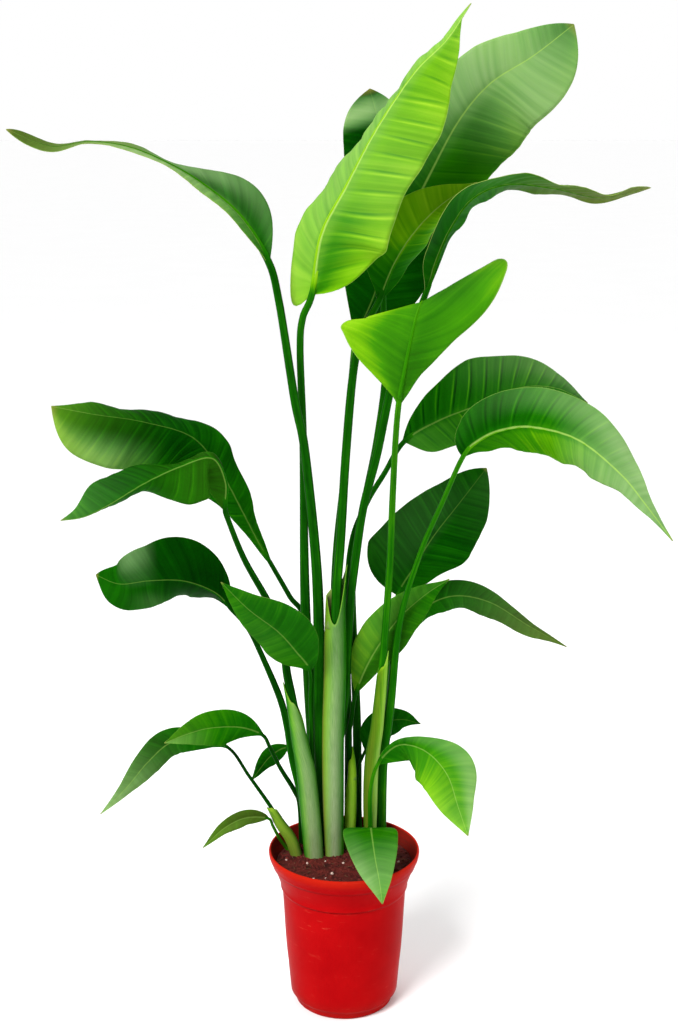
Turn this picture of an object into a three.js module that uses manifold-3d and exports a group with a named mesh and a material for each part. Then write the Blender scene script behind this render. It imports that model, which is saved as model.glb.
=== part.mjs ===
import * as THREE from 'three';
import { mergeVertices } from 'three/addons/utils/BufferGeometryUtils.js';
import Module from 'manifold-3d';

// A potted bird of paradise: a flared red nursery pot filled with peat mix, and the leaves that
// stand in it. Millimetres, +Z up, the front towards -Y, the underside of the pot on z = 0.

const wasm = await Module();
wasm.setup();
const { Manifold, Mesh } = wasm;

// Driving dimensions
const rimRadius = 85.3;
const rimHeight = 184.5;
const floorThick = 2.6;
const soilHeight = 167.5;
const soilGap = 0.35;
const bladeThick = 1;
const potSides = 40;
const ringCorners = 12;
const drainHoles = 8;
const drainRadius = 5;
const drainCircle = 38;

// Pot wall, from the underside up the outside, over the rolled lip and down the inside
const wallOutside = [
  [54.6, 0],
  [56.2, 6.5],
  [61, 12.5],
  [61.9, 21],
  [66, 66],
  [68.8, 116],
  [70.2, 138],
  [71.8, 141],
  [72.8, 147],
  [75.6, 156],
  [80.9, 169],
  [82.9, 172],
  [84.7, 177],
  [rimRadius, 181],
  [rimRadius - 0.3, 183.6],
  [rimRadius - 1.3, rimHeight],
];
const wallInside = [
  [82.7, 183.6],
  [81.2, 175],
  [78.2, 168],
  [73.7, 156],
  [70.2, 142],
  [68.2, 133],
  [66.9, 116],
  [64.1, 66],
  [59.9, 20],
  [58.6, 13],
  [54.4, 6.5],
  [53, floorThick],
];

// Blade colours
const lime = 0x8fc31f;
const leafGreen = 0x2f8a1c;
const deepGreen = 0x14601a;

// One entry for each leaf. path runs from the foot in the soil to the tip, and base is the point
// on it where the blade starts. stem lists the stalk's radius, sheath the half width of the
// wrapped foot up to its mouth, with the mouth's share of the stalk and the lip's rise on its
// right, front, left and back. right and left list the half widths of the blade, the turns lift
// each half towards the front in degrees, and wave is the height and number of the edge waves.
// blunt and tip say how fast the widths open at the stalk and close at the tip, and lobe how far
// each half reaches back over the stalk, as a share of its width.
const leaves = [
  {
    name: 'leaf_lime_tall',
    path: [[-26, 50, 154], [-36, 48, 304], [-42, 42, 417], [-44, 34, 513], [-44, 10, 653],
      [-46, -18, 752], [-43, -31, 788], [-33, -38, 814], [-23, -48, 873], [1, -55, 920],
      [31, -60, 976], [67, -60, 1029], [99, -55, 1061], [122, -50, 1095]],
    base: 7,
    stem: [6, 7, 6, 4.6, 4, 3.5],
    right: [30, 62, 54, 58, 40, -14],
    left: [30, 44, 44, 42, 34, 12],
    rightTurn: [0, 5, 0],
    leftTurn: [-40, -60, -72, -86, -82, -60],
    wave: [1.7, 5],
    blunt: 40,
    lobe: [0, 1.7],
    colour: lime,
  },
  {
    name: 'leaf_broad_top',
    path: [[16, 63, 154], [15, 67, 304], [9, 67, 492], [22, 66, 568], [36, 64, 642], [45, 62, 720],
      [42, 57, 793], [42, 52, 838], [69, 48, 888], [89, 42, 929], [117, 30, 983], [148, 18, 1021],
      [190, 6, 1048], [229, 0, 1078]],
    base: 7,
    stem: [5, 5, 4.4, 4, 3.6, 3.2],
    right: [12, 38, 58, 67, 57, 40],
    left: [12, 44, 54, 44, 32, 16],
    rightTurn: [0, -5, 0],
    leftTurn: [-20, -12, 0],
    wave: [2, 4],
    tip: 20,
    colour: leafGreen,
  },
  {
    name: 'leaf_dark_back',
    path: [[-11, 55, 154], [-12, 56, 304], [-10, 57, 489], [1, 64, 608], [9, 82, 712],
      [15, 100, 753], [35, 116, 801], [50, 126, 861], [50, 132, 920], [40, 140, 974],
      [28, 150, 1018]],
    base: 5,
    stem: [5, 5, 4.6, 4.4, 4.2, 3.8],
    right: [28, 50, 54, 50, 34, 24],
    left: [18, 40, 50, 48, 45, 46],
    rightTurn: [0],
    leftTurn: [0, -8, 0],
    wave: [2, 4],
    tip: 16,
    colour: deepGreen,
  },
  {
    name: 'leaf_half_hidden',
    path: [[-11, 16, 154], [-12, 16, 242], [-12, 16, 313], [-10, 18, 381], [-9, 21, 471],
      [-4, 25, 538], [2, 28, 637], [10, 28, 726], [21, 27, 769], [37, 25, 801], [52, 18, 839],
      [72, 10, 872], [100, 6, 901], [136, 4, 923]],
    base: 9,
    sheath: [10.5, 12, 12.4, 12.4, 10.8],
    mouth: 0.5,
    lip: [31, -36, -6, 4],
    stem: [5.4, 4.9, 4.6, 3.4],
    right: [6, 24, 32, 30, 18, 4],
    left: [8, 30, 38, 34, 20, 5],
    rightTurn: [-40, -55, -30],
    leftTurn: [0, 10, 0],
    wave: [2, 3],
    colour: leafGreen,
  },
  {
    name: 'leaf_twisted_right',
    path: [[-6, 37, 154], [-8, 37, 264], [-4, 37, 318], [1, 36, 360], [4, 34, 420], [7, 33, 467],
      [13, 30, 519], [21, 24, 576], [35, 14, 636], [50, 2, 714], [66, -4, 762], [85, -8, 814],
      [93, -14, 844], [107, -24, 879], [130, -20, 909], [166, -8, 922], [215, 14, 917],
      [270, 38, 906], [325, 62, 915]],
    base: 11,
    stem: [5.5, 6, 5.2, 4.6, 4.5, 3.2],
    right: [10, 30, 40, 38, 34, 26],
    left: [14, 34, 42, 38, 34, 26],
    rightTurn: [-60, -70, -70, -76, -80, -72],
    leftTurn: [40, 60, 75, 80, 78, 70],
    wave: [2, 5],
    tip: 14,
    colour: leafGreen,
  },
  {
    name: 'leaf_funnel',
    path: [[30, 33, 154], [31, 32, 264], [38, 32, 326], [45, 26, 423], [50, 10, 520],
      [51, -20, 594], [52, -66, 668], [54, -94, 712], [59, -100, 744], [66, -96, 777],
      [73, -80, 801], [79, -56, 808], [82, -40, 792], [81, -34, 761]],
    base: 7,
    sheath: [6, 8, 8.2, 7, 5.6],
    mouth: 0.42,
    lip: [10, -8, -22, 0],
    stem: [4.2, 3.9, 3.4, 3],
    right: [8, 18, 46, 100, 56, 8],
    left: [6, 50, 80, 64, 40, 8],
    rightTurn: [0, 5, 24, 32, 24, 5],
    leftTurn: [0, -12, -26, -20, -10, 0],
    wave: [2, 4],
    across: [1, 0, 0],
    ribFront: true,
    colour: lime,
  },
  {
    name: 'leaf_right_rear',
    path: [[5, 57, 154], [5, 58, 304], [3, 57, 444], [8, 56, 524], [24, 54, 571], [44, 50, 607],
      [66, 52, 643], [104, 54, 666], [147, 60, 682], [193, 72, 699], [235, 88, 696],
      [273, 102, 677]],
    base: 6,
    stem: [4.5, 4.4, 4, 3.6, 3.2, 2.8],
    right: [30, 32, 38, 36, 20, 5],
    left: [8, 32, 50, 38, 19, 5],
    rightTurn: [0],
    leftTurn: [0],
    wave: [2, 4],
    blunt: 20,
    colour: leafGreen,
  },
  {
    name: 'leaf_right_front',
    path: [[44, 44, 154], [44, 43, 264], [52, 39, 337], [62, 31, 442], [83, 10, 528],
      [104, -20, 592], [123, -46, 647], [139, -58, 667], [160, -72, 680], [189, -88, 686],
      [231, -112, 678], [270, -136, 649], [293, -150, 622], [319, -164, 588]],
    base: 6,
    stem: [5, 6, 5, 3.4, 2.8, 2.6],
    right: [14, 32, 38, 30, 12, 3],
    left: [24, 36, 40, 30, 12, 2],
    rightTurn: [-30, -30, -35, -35, -20, 0],
    leftTurn: [0, 5, 0],
    wave: [2, 5],
    blunt: 20,
    colour: leafGreen,
  },
  {
    name: 'leaf_right_shade',
    path: [[35, 57, 154], [37, 62, 264], [46, 66, 337], [52, 68, 409], [61, 68, 462], [80, 70, 496],
      [101, 74, 530], [130, 80, 567], [160, 88, 605]],
    base: 4,
    stem: [4, 3.8, 3.4, 3, 2.7, 2.6],
    right: [10, 24, 44, 44, 32, 16],
    left: [46, 58, 52, 42, 28, 18],
    rightTurn: [0],
    leftTurn: [0],
    wave: [2, 3],
    blunt: 20,
    tip: 14,
    colour: deepGreen,
  },
  {
    name: 'leaf_olive_low',
    path: [[6, 30, 154], [8, 34, 234], [8, 38, 265], [5, 45, 294], [9, 47, 326], [14, 47, 354],
      [31, 45, 396], [58, 42, 439], [89, 40, 470], [117, 38, 490]],
    base: 5,
    sheath: [5.6, 6.6, 7, 6.4, 5.2],
    mouth: 0.6,
    lip: [14, 0, -18, -6],
    stem: [3.4, 3, 2.6, 2.4],
    right: [8, 15, 24, 24, 16, 4],
    left: [9, 22, 27, 24, 16, 4],
    rightTurn: [0],
    leftTurn: [0],
    wave: [1.5, 3],
    colour: leafGreen,
  },
  {
    name: 'leaf_arching_right',
    path: [[27, 61, 154], [27, 64, 264], [37, 72, 285], [48, 78, 344], [60, 82, 392], [87, 86, 436],
      [124, 94, 453], [169, 106, 442], [218, 124, 407], [265, 140, 376]],
    base: 4,
    stem: [3.6, 3.4, 3, 2.8, 2.6, 2.4],
    right: [8, 16, 20, 20, 14, 4],
    left: [8, 16, 18, 10, 5, 3],
    rightTurn: [-30, -20, 0],
    leftTurn: [0],
    wave: [2, 4],
    colour: leafGreen,
  },
  {
    name: 'leaf_left_shade',
    path: [[-42, 37, 154], [-47, 39, 216], [-59, 40, 274], [-65, 41, 316], [-73, 42, 349],
      [-93, 42, 400], [-108, 42, 432], [-127, 44, 454], [-146, 48, 472], [-180, 54, 483],
      [-219, 62, 481], [-255, 76, 473], [-284, 92, 479]],
    base: 7,
    stem: [4, 4, 4.2, 4, 3.2, 2.6],
    right: [7, 39, 50, 40, 26, 17],
    left: [10, 36, 46, 46, 48, 30],
    rightTurn: [0],
    leftTurn: [-55, -55, -50, -40, -30, -20],
    wave: [2, 3],
    tip: 14,
    colour: deepGreen,
  },
  {
    name: 'leaf_centre_small',
    path: [[-37, 28, 154], [-38, 28, 254], [-37, 28, 309], [-38, 20, 354], [-38, 0, 396],
      [-52, -18, 424], [-71, -36, 453], [-101, -58, 485], [-128, -76, 520]],
    base: 4,
    stem: [3, 3, 2.8, 2.6, 2.2, 2],
    right: [18, 29, 33, 28, 18, 6],
    left: [14, 23, 25, 20, 13, 5],
    rightTurn: [0],
    leftTurn: [0],
    wave: [1.5, 3],
    colour: deepGreen,
  },
  {
    name: 'leaf_upper_left',
    path: [[-26, 61, 154], [-34, 63, 304], [-43, 57, 430], [-61, 48, 467], [-82, 36, 510],
      [-95, 28, 537], [-111, 16, 574], [-131, 4, 617], [-160, -8, 659], [-210, -24, 679],
      [-260, -44, 691], [-299, -60, 702]],
    base: 4,
    stem: [4, 4, 3.8, 3.4, 3, 2.6],
    right: [6, 14, 24, 34, 30, 8],
    left: [6, 14, 44, 52, 55, 55],
    rightTurn: [-50, -40, -40, -80, -80, -60],
    leftTurn: [-20, -10, 0, 0],
    wave: [2.5, 5],
    tip: 16,
    colour: leafGreen,
  },
  {
    name: 'leaf_left_drooping',
    path: [[-33, 10, 154], [-42, 12, 261], [-49, 12, 307], [-56, 12, 349], [-63, 11, 386],
      [-67, 10, 417], [-79, 4, 465], [-107, -10, 525], [-123, -22, 572], [-126, -28, 587],
      [-124, -40, 618], [-137, -50, 646], [-169, -64, 640], [-202, -80, 627], [-236, -98, 609],
      [-261, -112, 599], [-283, -124, 598]],
    base: 9,
    sheath: [10.6, 11.4, 11.2, 10.6, 9, 6.6],
    mouth: 0.47,
    lip: [-34, -8, 16, -6],
    stem: [5, 4.2, 3.4, 2.8],
    right: [4, 8, 10, 34, 34, 14],
    left: [22, 36, 42, 32, 32, 18],
    rightTurn: [-80, -78, -76, -60, -35, -20],
    leftTurn: [0, 0, 0, -66, -86, -86],
    wave: [2, 4],
    colour: deepGreen,
  },
  {
    name: 'leaf_low_left_dark',
    path: [[-49, 45, 154], [-51, 47, 214], [-57, 44, 234], [-73, 36, 266], [-84, 26, 295],
      [-92, 14, 315], [-116, 4, 328], [-147, -8, 332], [-170, -16, 329], [-198, -20, 319]],
    base: 5,
    stem: [3.2, 3, 3, 2.6, 2.2, 2],
    right: [5, 15, 20, 19, 12, 4],
    left: [5, 14, 21, 20, 13, 4],
    rightTurn: [0],
    leftTurn: [0],
    wave: [1.5, 2],
    colour: deepGreen,
  },
  {
    name: 'leaf_low_left_long',
    path: [[-50.5, 15, 154], [-60, 13, 187], [-72, 11, 208], [-84, 14, 229], [-108, 22, 262],
      [-131, 33, 291], [-165, 47, 294], [-199, 58, 288], [-228, 66, 260], [-255, 72, 225],
      [-287, 76, 190]],
    base: 5,
    sheath: [5.5, 6.8, 6.8, 6, 4.6],
    mouth: 0.46,
    lip: [0, 6, 8, 0],
    stem: [2.4, 2.1, 1.9, 1.8],
    right: [4, 13, 17, 14, 8, 3],
    left: [4, 15, 20, 16, 9, 3],
    rightTurn: [0],
    leftTurn: [-20, -20, 0],
    wave: [1.5, 3],
    colour: leafGreen,
  },
  {
    name: 'leaf_lowest_left',
    path: [[-58, 33, 154], [-66, 30, 169], [-74, 22, 185], [-81, 12, 205], [-86, 2, 219],
      [-110, -16, 228], [-133, -32, 223], [-156, -44, 205]],
    base: 4,
    stem: [2.2, 2, 1.8, 1.6],
    right: [5, 8, 9, 8, 5, 2],
    left: [7, 9, 9, 8, 5, 2],
    rightTurn: [0],
    leftTurn: [0],
    wave: [1, 2],
    colour: leafGreen,
  },
  {
    name: 'leaf_low_left_small',
    path: [[-38, 54, 154], [-45, 59, 209], [-52, 61, 250], [-63, 64, 278], [-85, 76, 264],
      [-109, 90, 227]],
    base: 3,
    stem: [2.6, 2.4, 2, 1.8],
    right: [5, 9, 10, 8, 5, 2],
    left: [5, 9, 10, 8, 5, 2],
    rightTurn: [0],
    leftTurn: [0],
    wave: [1, 2],
    colour: deepGreen,
  },
  {
    name: 'leaf_low_right_bright',
    path: [[30, 20, 154], [30, 18, 204], [30, 12, 249], [38, 4, 284], [57, -10, 311],
      [76, -26, 318], [95, -44, 314], [112, -60, 297], [122, -78, 270], [132, -94, 243]],
    base: 3,
    stem: [3, 2.8, 2.4, 2],
    right: [18, 25, 31, 31, 22, 8],
    left: [4, 5, 14, 32, 21, 8],
    rightTurn: [0],
    leftTurn: [0],
    wave: [2, 3],
    tip: 12,
    colour: lime,
  },
  {
    name: 'leaf_low_right_dark',
    path: [[19, 40, 154], [18, 44, 214], [15, 50, 251], [25, 52, 281], [43, 58, 309], [66, 66, 313],
      [89, 78, 303]],
    base: 3,
    stem: [3, 2.7, 2.2, 1.8],
    right: [10, 17, 18, 16, 10, 3],
    left: [10, 17, 18, 14, 9, 3],
    rightTurn: [0],
    leftTurn: [0],
    wave: [1.5, 2],
    colour: deepGreen,
  },
  {
    name: 'leaf_over_rim',
    path: [[30, 8, 154], [30, 7, 182], [30, -2, 209], [31, -36, 213], [34, -68, 202],
      [38, -90, 187], [41, -99, 166]],
    base: 2,
    stem: [3.4, 3.2, 2.8, 2.2],
    right: [26, 30, 28, 24, 17, 8],
    left: [26, 28, 26, 22, 15, 6],
    rightTurn: [0],
    leftTurn: [0],
    wave: [1.5, 2],
    blunt: 30,
    across: [-1, 0, 0],
    colour: leafGreen,
  },
  {
    name: 'leaf_far_left',
    path: [[-22, 37, 154], [-28, 36, 304], [-28, 36, 419], [-31, 26, 515], [-42, -6, 645],
      [-52, -20, 702], [-67, -36, 807], [-78, -40, 849], [-105, -44, 892], [-139, -52, 922],
      [-170, -62, 942], [-208, -74, 959], [-246, -86, 965], [-282, -98, 961], [-321, -110, 977]],
    base: 7,
    stem: [6, 6.5, 6.2, 5.2, 4.5, 3.8],
    right: [24, 54, 36, 30, 22, 24],
    left: [8, 15, 15, 19, 18, 22],
    rightTurn: [-25, -56, -87, -87, -85, -70],
    leftTurn: [60, 66, 74, 84, 86, 80, 64],
    wave: [1, 4],
    tip: 14,
    colour: leafGreen,
  },
];

// Value at share t along a list of numbers, joined by a smooth curve
function along(list, t) {
  if (list.length === 1) return list[0];
  const x = t * (list.length - 1);
  const i = Math.min(Math.floor(x), list.length - 2);
  const w = x - i;
  const last = list.length - 1;
  const a = i > 0 ? list[i - 1] : 2 * list[0] - list[1];
  const d = i < last - 1 ? list[i + 2] : 2 * list[last] - list[last - 1];
  const [b, c] = [list[i], list[i + 1]];
  const m = (c - a) / 2;
  const n = (d - b) / 2;
  return (2 * b - 2 * c + m + n) * w ** 3 + (3 * c - 3 * b - 2 * m - n) * w ** 2 + m * w + b;
}

const radians = (degrees) => (degrees * Math.PI) / 180;
const mix = (a, b, t) => a + (b - a) * t;

// Half depth of a stalk from its half width: the wrapped sheaths are flatter than round
const depthOf = (r) => (r < 6 ? r : 6 + (r - 6) * 0.45);

// Half width of one side of the blade at share t of its length
function halfWidth(leaf, side, t) {
  const list = Math.max(along(leaf[side], t), 0);
  return list * (1 - t ** (leaf.tip ?? 8)) * (1 - (1 - t) ** (leaf.blunt ?? 10));
}

// Place on the path at a given length, with its direction, its front and its side
function frameAt(leaf, curve, total, length) {
  const u = Math.min(Math.max(length / total, 0), 1);
  const here = curve.getPointAt(u);
  const run = curve.getTangentAt(u).normalize();
  if (leaf.across) {
    const across = new THREE.Vector3(...leaf.across);
    const side = across.clone().addScaledVector(run, -run.dot(across)).normalize();
    return { here, run, front: side.clone().cross(run), side };
  }
  const front = new THREE.Vector3(0, -1, 0).addScaledVector(run, run.y).normalize();
  return { here, run, front, side: run.clone().cross(front) };
}

// Ring of the stalk: an ellipse of twelve points that starts left of the front
function stalkRing(frame, wide, deep, lift) {
  const ring = [];
  for (let i = 0; i < ringCorners; i++) {
    const a = radians(150 - (360 / ringCorners) * i);
    const p = frame.here.clone();
    p.addScaledVector(frame.side, wide * Math.cos(a));
    p.addScaledVector(frame.front, deep * Math.sin(a));
    if (lift) p.addScaledVector(frame.run, lift(a));
    ring.push(p);
  }
  return ring;
}

// Point of the blade at share t along it and share v across one half, with the face direction
function bladePoint(leaf, frame, side, t, v, root) {
  const s = side === 'right' ? 1 : -1;
  const turn = radians(along(leaf[side + 'Turn'], t));
  const wide = halfWidth(leaf, side, t) + root;
  const face = frame.front.clone().multiplyScalar(Math.cos(turn));
  face.addScaledVector(frame.side, -s * Math.sin(turn));
  const [height, count] = leaf.wave;
  const phase = s > 0 ? 0 : 0.37;
  const shape = v * v * Math.sqrt(Math.max(Math.sin(Math.PI * t), 0));
  const wave = height * shape * Math.sin(2 * Math.PI * (count * t + phase));
  const p = frame.here.clone();
  p.addScaledVector(frame.side, s * wide * v * Math.cos(turn));
  p.addScaledVector(frame.front, wide * v * Math.sin(turn));
  p.addScaledVector(face, wave);
  const lobe = leaf.lobe ? leaf.lobe[s > 0 ? 0 : 1] : 0;
  p.addScaledVector(frame.run, -lobe * wide * v * v * Math.max(1 - t / 0.15, 0) ** 2);
  return { p, face, wide };
}

// Ring of the blade: its upper face, its lower face and the rib that runs under the middle
function bladeRing(leaf, frame, t, stalk) {
  const root = mix(stalk, 1.2, Math.min(t * 1.6, 1));
  const rib = mix(stalk * 0.9, 0.8, t);
  const half = bladeThick / 2;
  const flip = leaf.ribFront ? -1 : 1;
  const point = (side, v, off) => {
    const b = bladePoint(leaf, frame, side, t, v, root);
    return b.p.addScaledVector(b.face, off);
  };
  const r = bladePoint(leaf, frame, 'right', t, 0.5, root);
  const l = bladePoint(leaf, frame, 'left', t, 0.5, root);
  const middle = r.face.clone().add(l.face).normalize();
  const crease = Math.max(middle.dot(r.face), 0.35);
  const nearRight = Math.min(rib / r.wide, 0.4);
  const nearLeft = Math.min(rib / l.wide, 0.4);
  const top = frame.here.clone().addScaledVector(middle, (flip * half) / crease);
  const under = frame.here.clone().addScaledVector(middle, -flip * (half + rib * 0.9));
  const ring = [
    point('left', 1, flip * half),
    point('left', 0.55, flip * half),
    top,
    point('right', 0.55, flip * half),
    point('right', 1, flip * half),
    point('right', 1, -flip * half),
    point('right', 0.55, -flip * half),
    point('right', nearRight, -flip * (half + rib * 0.45)),
    under,
    point('left', nearLeft, -flip * (half + rib * 0.45)),
    point('left', 0.55, -flip * half),
    point('left', 1, -flip * half),
  ];
  if (!leaf.ribFront) return ring;
  // With the rib on the front the two faces change places, so the ring keeps its sense
  return [11, 10, 8, 6, 5, 4, 3, null, 2, null, 1, 0].map((k, i) => {
    if (i === 7) return point('right', nearRight, -half);
    if (i === 9) return point('left', nearLeft, -half);
    return ring[k];
  });
}

// Closed skin over rings of equal count, each quad cut along the same leaf diagonal on both faces
function skin(rings) {
  const count = rings[0].length;
  const places = [];
  const faces = [];
  rings.forEach((ring) => ring.forEach((p) => places.push(p.x, p.y, p.z)));
  for (let i = 0; i < rings.length - 1; i++) {
    for (let j = 0; j < count; j++) {
      const a = i * count + j;
      const b = i * count + ((j + 1) % count);
      const c = a + count;
      const d = b + count;
      if (j < 5) faces.push(a, b, d, a, d, c);
      else faces.push(a, b, c, b, d, c);
    }
  }
  for (const [start, turn] of [[0, 1], [(rings.length - 1) * count, -1]]) {
    const ring = rings[start ? rings.length - 1 : 0];
    const centre = ring.reduce((sum, p) => sum.add(p), new THREE.Vector3()).divideScalar(count);
    const middle = places.length / 3;
    places.push(centre.x, centre.y, centre.z);
    for (let j = 0; j < count; j++) {
      const a = start + j;
      const b = start + ((j + 1) % count);
      if (turn > 0) faces.push(middle, b, a);
      else faces.push(middle, a, b);
    }
  }
  return { places, faces };
}

// The rings of a whole leaf, from its foot to its tip
function leafRings(leaf) {
  const curve = new THREE.CatmullRomCurve3(
    leaf.path.map((p) => new THREE.Vector3(...p)), false, 'catmullrom', 0.5,
  );
  curve.arcLengthDivisions = 40 * (leaf.path.length - 1);
  const lengths = curve.getLengths();
  const total = lengths[lengths.length - 1];
  const stalk = lengths[40 * leaf.base];
  const blade = total - stalk;
  const rings = [];
  const at = (length) => frameAt(leaf, curve, total, length);
  const mouth = (leaf.mouth ?? 0) * stalk;
  if (leaf.sheath) {
    const steps = Math.max(Math.round(mouth / 40), 3);
    for (let i = 0; i < steps; i++) {
      const r = along(leaf.sheath, i / steps);
      rings.push(stalkRing(at((mouth * i) / steps), r, depthOf(r)));
    }
    const [right, front, left, back] = leaf.lip;
    const lift = (a) => {
      const x = Math.cos(a);
      const y = Math.sin(a);
      return x * x * (x > 0 ? right : left) + y * y * (y > 0 ? front : back);
    };
    const r = along(leaf.sheath, 1);
    const low = Math.min(right, front, left, back);
    rings.push(stalkRing(at(mouth), r, depthOf(r), lift));
    rings.push(stalkRing(at(mouth), r - 0.9, depthOf(r) - 0.9, lift));
    const stem = leaf.stem[0];
    const floor = at(mouth + low - 6);
    rings.push(stalkRing(floor, (stem + r - 0.9) / 2, (stem + depthOf(r) - 0.9) / 2));
    rings.push(stalkRing(floor, stem, stem));
  }
  const steps = Math.max(Math.round((stalk - mouth) / 48), 3);
  const first = leaf.sheath ? 1 : 0;
  for (let i = first; i < steps; i++) {
    const r = along(leaf.stem, i / steps);
    rings.push(stalkRing(at(mix(mouth, stalk, i / steps)), r, depthOf(r)));
  }
  const radius = leaf.stem[leaf.stem.length - 1];
  rings.push(stalkRing(at(stalk - 2), radius, radius));
  const parts = Math.min(Math.max(Math.round(blade / 19), 6), 17);
  for (let i = 0; i <= parts; i++) {
    const t = i === 0 ? 0.012 : i === parts ? 0.996 : i / parts;
    rings.push(bladeRing(leaf, at(stalk + blade * t), t, radius));
  }
  return rings;
}

function geometryOf({ places, faces }) {
  const geometry = new THREE.BufferGeometry();
  geometry.setAttribute('position', new THREE.Float32BufferAttribute(places, 3));
  geometry.setIndex(faces);
  return geometry;
}

// Solid for the cuts from merged vertices, without the flat triangles at a lathe's poles
function solidOf({ places, faces }) {
  const kept = [];
  for (let i = 0; i < faces.length; i += 3) {
    const [a, b, c] = faces.slice(i, i + 3);
    if (a !== b && b !== c && c !== a) kept.push(a, b, c);
  }
  return new Manifold(
    new Mesh({
      numProp: 3,
      vertProperties: new Float32Array(places),
      triVerts: new Uint32Array(kept),
    }),
  );
}

// Vertices and triangles of a closed geometry, with the vertices along its seams merged
function closed(geometry) {
  geometry.deleteAttribute('normal');
  geometry.deleteAttribute('uv');
  const merged = mergeVertices(geometry, 1e-3);
  return { places: Array.from(merged.attributes.position.array), faces: Array.from(merged.index.array) };
}

// Turned solid from a profile that starts and ends on the axis, standing on +Z
function turned(profile, sides) {
  const points = profile.map(([r, z]) => new THREE.Vector2(r, z));
  return closed(new THREE.LatheGeometry(points, sides).rotateX(Math.PI / 2));
}

function meshFromSolid(solid) {
  const made = solid.getMesh();
  const places = [];
  for (let i = 0; i < made.numVert; i++) {
    for (let k = 0; k < 3; k++) places.push(made.vertProperties[i * made.numProp + k]);
  }
  return geometryOf({ places, faces: Array.from(made.triVerts) });
}

const part = new THREE.Group();
part.name = 'potted_bird_of_paradise';
const filledPot = new THREE.Group();
const foliage = new THREE.Group();
part.add(filledPot, foliage);

function add(group, name, geometry, foot, colour, roughness) {
  geometry.translate(-foot.x, -foot.y, -foot.z);
  geometry.computeVertexNormals();
  const material = new THREE.MeshStandardMaterial({ color: colour, roughness });
  const mesh = new THREE.Mesh(geometry, material);
  mesh.name = name;
  mesh.position.copy(foot);
  group.add(mesh);
}

const centreOf = (ring) => {
  const sum = ring.reduce((total, p) => total.add(p), new THREE.Vector3());
  return sum.divideScalar(ring.length);
};

// Pot with its ring of drain holes
let pot = solidOf(turned([[0, 0], ...wallOutside, ...wallInside, [0, floorThick]], potSides));
for (let k = 0; k < drainHoles; k++) {
  const a = (2 * Math.PI * (k + 0.5)) / drainHoles;
  const drill = new THREE.CylinderGeometry(drainRadius, drainRadius, floorThick + 4, 12);
  drill.rotateX(Math.PI / 2);
  drill.translate(drainCircle * Math.cos(a), drainCircle * Math.sin(a), floorThick / 2);
  pot = pot.subtract(solidOf(closed(drill)));
}
const potFoot = new THREE.Vector3(0, 0, 0);
add(filledPot, 'pot', meshFromSolid(pot), potFoot, 0xc4141a, 0.4);

// Soil: it fills the pot to a little below the lip, and its surface is gently uneven
const soilSide = wallInside.filter(([, z]) => z < soilHeight - 4 && z > floorThick + 2).reverse();
const soilFoot = floorThick + soilGap;
const soilShape = turned([
  [0, soilFoot],
  [wallInside[wallInside.length - 1][0] - 0.5, soilFoot],
  ...soilSide.map(([r, z]) => [r - soilGap - 0.1, z]),
  [77.4, soilHeight],
  [60, soilHeight + 1],
  [40, soilHeight + 1.5],
  [20, soilHeight + 2],
  [0, soilHeight + 2.4],
], potSides);
for (let i = 0; i < soilShape.places.length; i += 3) {
  const [x, y, z] = soilShape.places.slice(i, i + 3);
  if (z < soilHeight - 1) continue;
  soilShape.places[i + 2] += 0.8 * Math.sin(x * 0.11 + 1) + 0.7 * Math.sin(y * 0.13 + x * 0.05);
}

// Leaves: every one stands in its own plain hole in the soil
let soil = solidOf(soilShape);
for (const leaf of leaves) {
  const rings = leafRings(leaf);
  const foot = centreOf(rings[0]);
  const upper = centreOf(rings[1]);
  const run = upper.clone().sub(foot).normalize();
  const grown = (ring, middle, shift) => ring.map((p) => {
    const out = p.clone().sub(middle).normalize();
    return p.clone().addScaledVector(out, soilGap + 0.1).addScaledVector(run, shift);
  });
  const hole = [grown(rings[0], foot, -soilGap), grown(rings[1], upper, 0)];
  soil = soil.subtract(solidOf(skin(hole)));
  add(foliage, leaf.name, geometryOf(skin(rings)), foot, leaf.colour, 0.45);
}
add(filledPot, 'soil', meshFromSolid(soil), new THREE.Vector3(0, 0, soilFoot), 0x3a1f16, 0.95);

export default part;
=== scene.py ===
import math
import random

import bmesh
import bpy
from mathutils import Matrix, Vector, noise


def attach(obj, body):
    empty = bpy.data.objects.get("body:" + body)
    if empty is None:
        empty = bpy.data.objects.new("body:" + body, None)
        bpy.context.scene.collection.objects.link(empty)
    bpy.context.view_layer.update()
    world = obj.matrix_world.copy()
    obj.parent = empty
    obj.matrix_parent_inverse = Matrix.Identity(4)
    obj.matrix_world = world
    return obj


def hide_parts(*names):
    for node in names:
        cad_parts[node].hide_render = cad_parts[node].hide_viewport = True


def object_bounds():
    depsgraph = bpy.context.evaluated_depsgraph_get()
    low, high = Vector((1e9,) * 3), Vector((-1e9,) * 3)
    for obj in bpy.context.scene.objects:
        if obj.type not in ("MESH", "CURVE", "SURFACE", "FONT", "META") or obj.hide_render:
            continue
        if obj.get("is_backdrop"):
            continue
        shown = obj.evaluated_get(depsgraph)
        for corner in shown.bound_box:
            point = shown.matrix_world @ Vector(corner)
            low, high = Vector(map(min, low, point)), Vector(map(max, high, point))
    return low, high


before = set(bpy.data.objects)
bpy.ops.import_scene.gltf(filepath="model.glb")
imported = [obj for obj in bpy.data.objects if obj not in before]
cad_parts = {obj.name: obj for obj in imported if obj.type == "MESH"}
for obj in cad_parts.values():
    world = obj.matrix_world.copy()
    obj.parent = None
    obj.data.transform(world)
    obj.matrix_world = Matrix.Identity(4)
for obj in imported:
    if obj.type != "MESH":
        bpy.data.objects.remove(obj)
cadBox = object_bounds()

mm = 0.001


# Small maths that the leaves share

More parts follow.
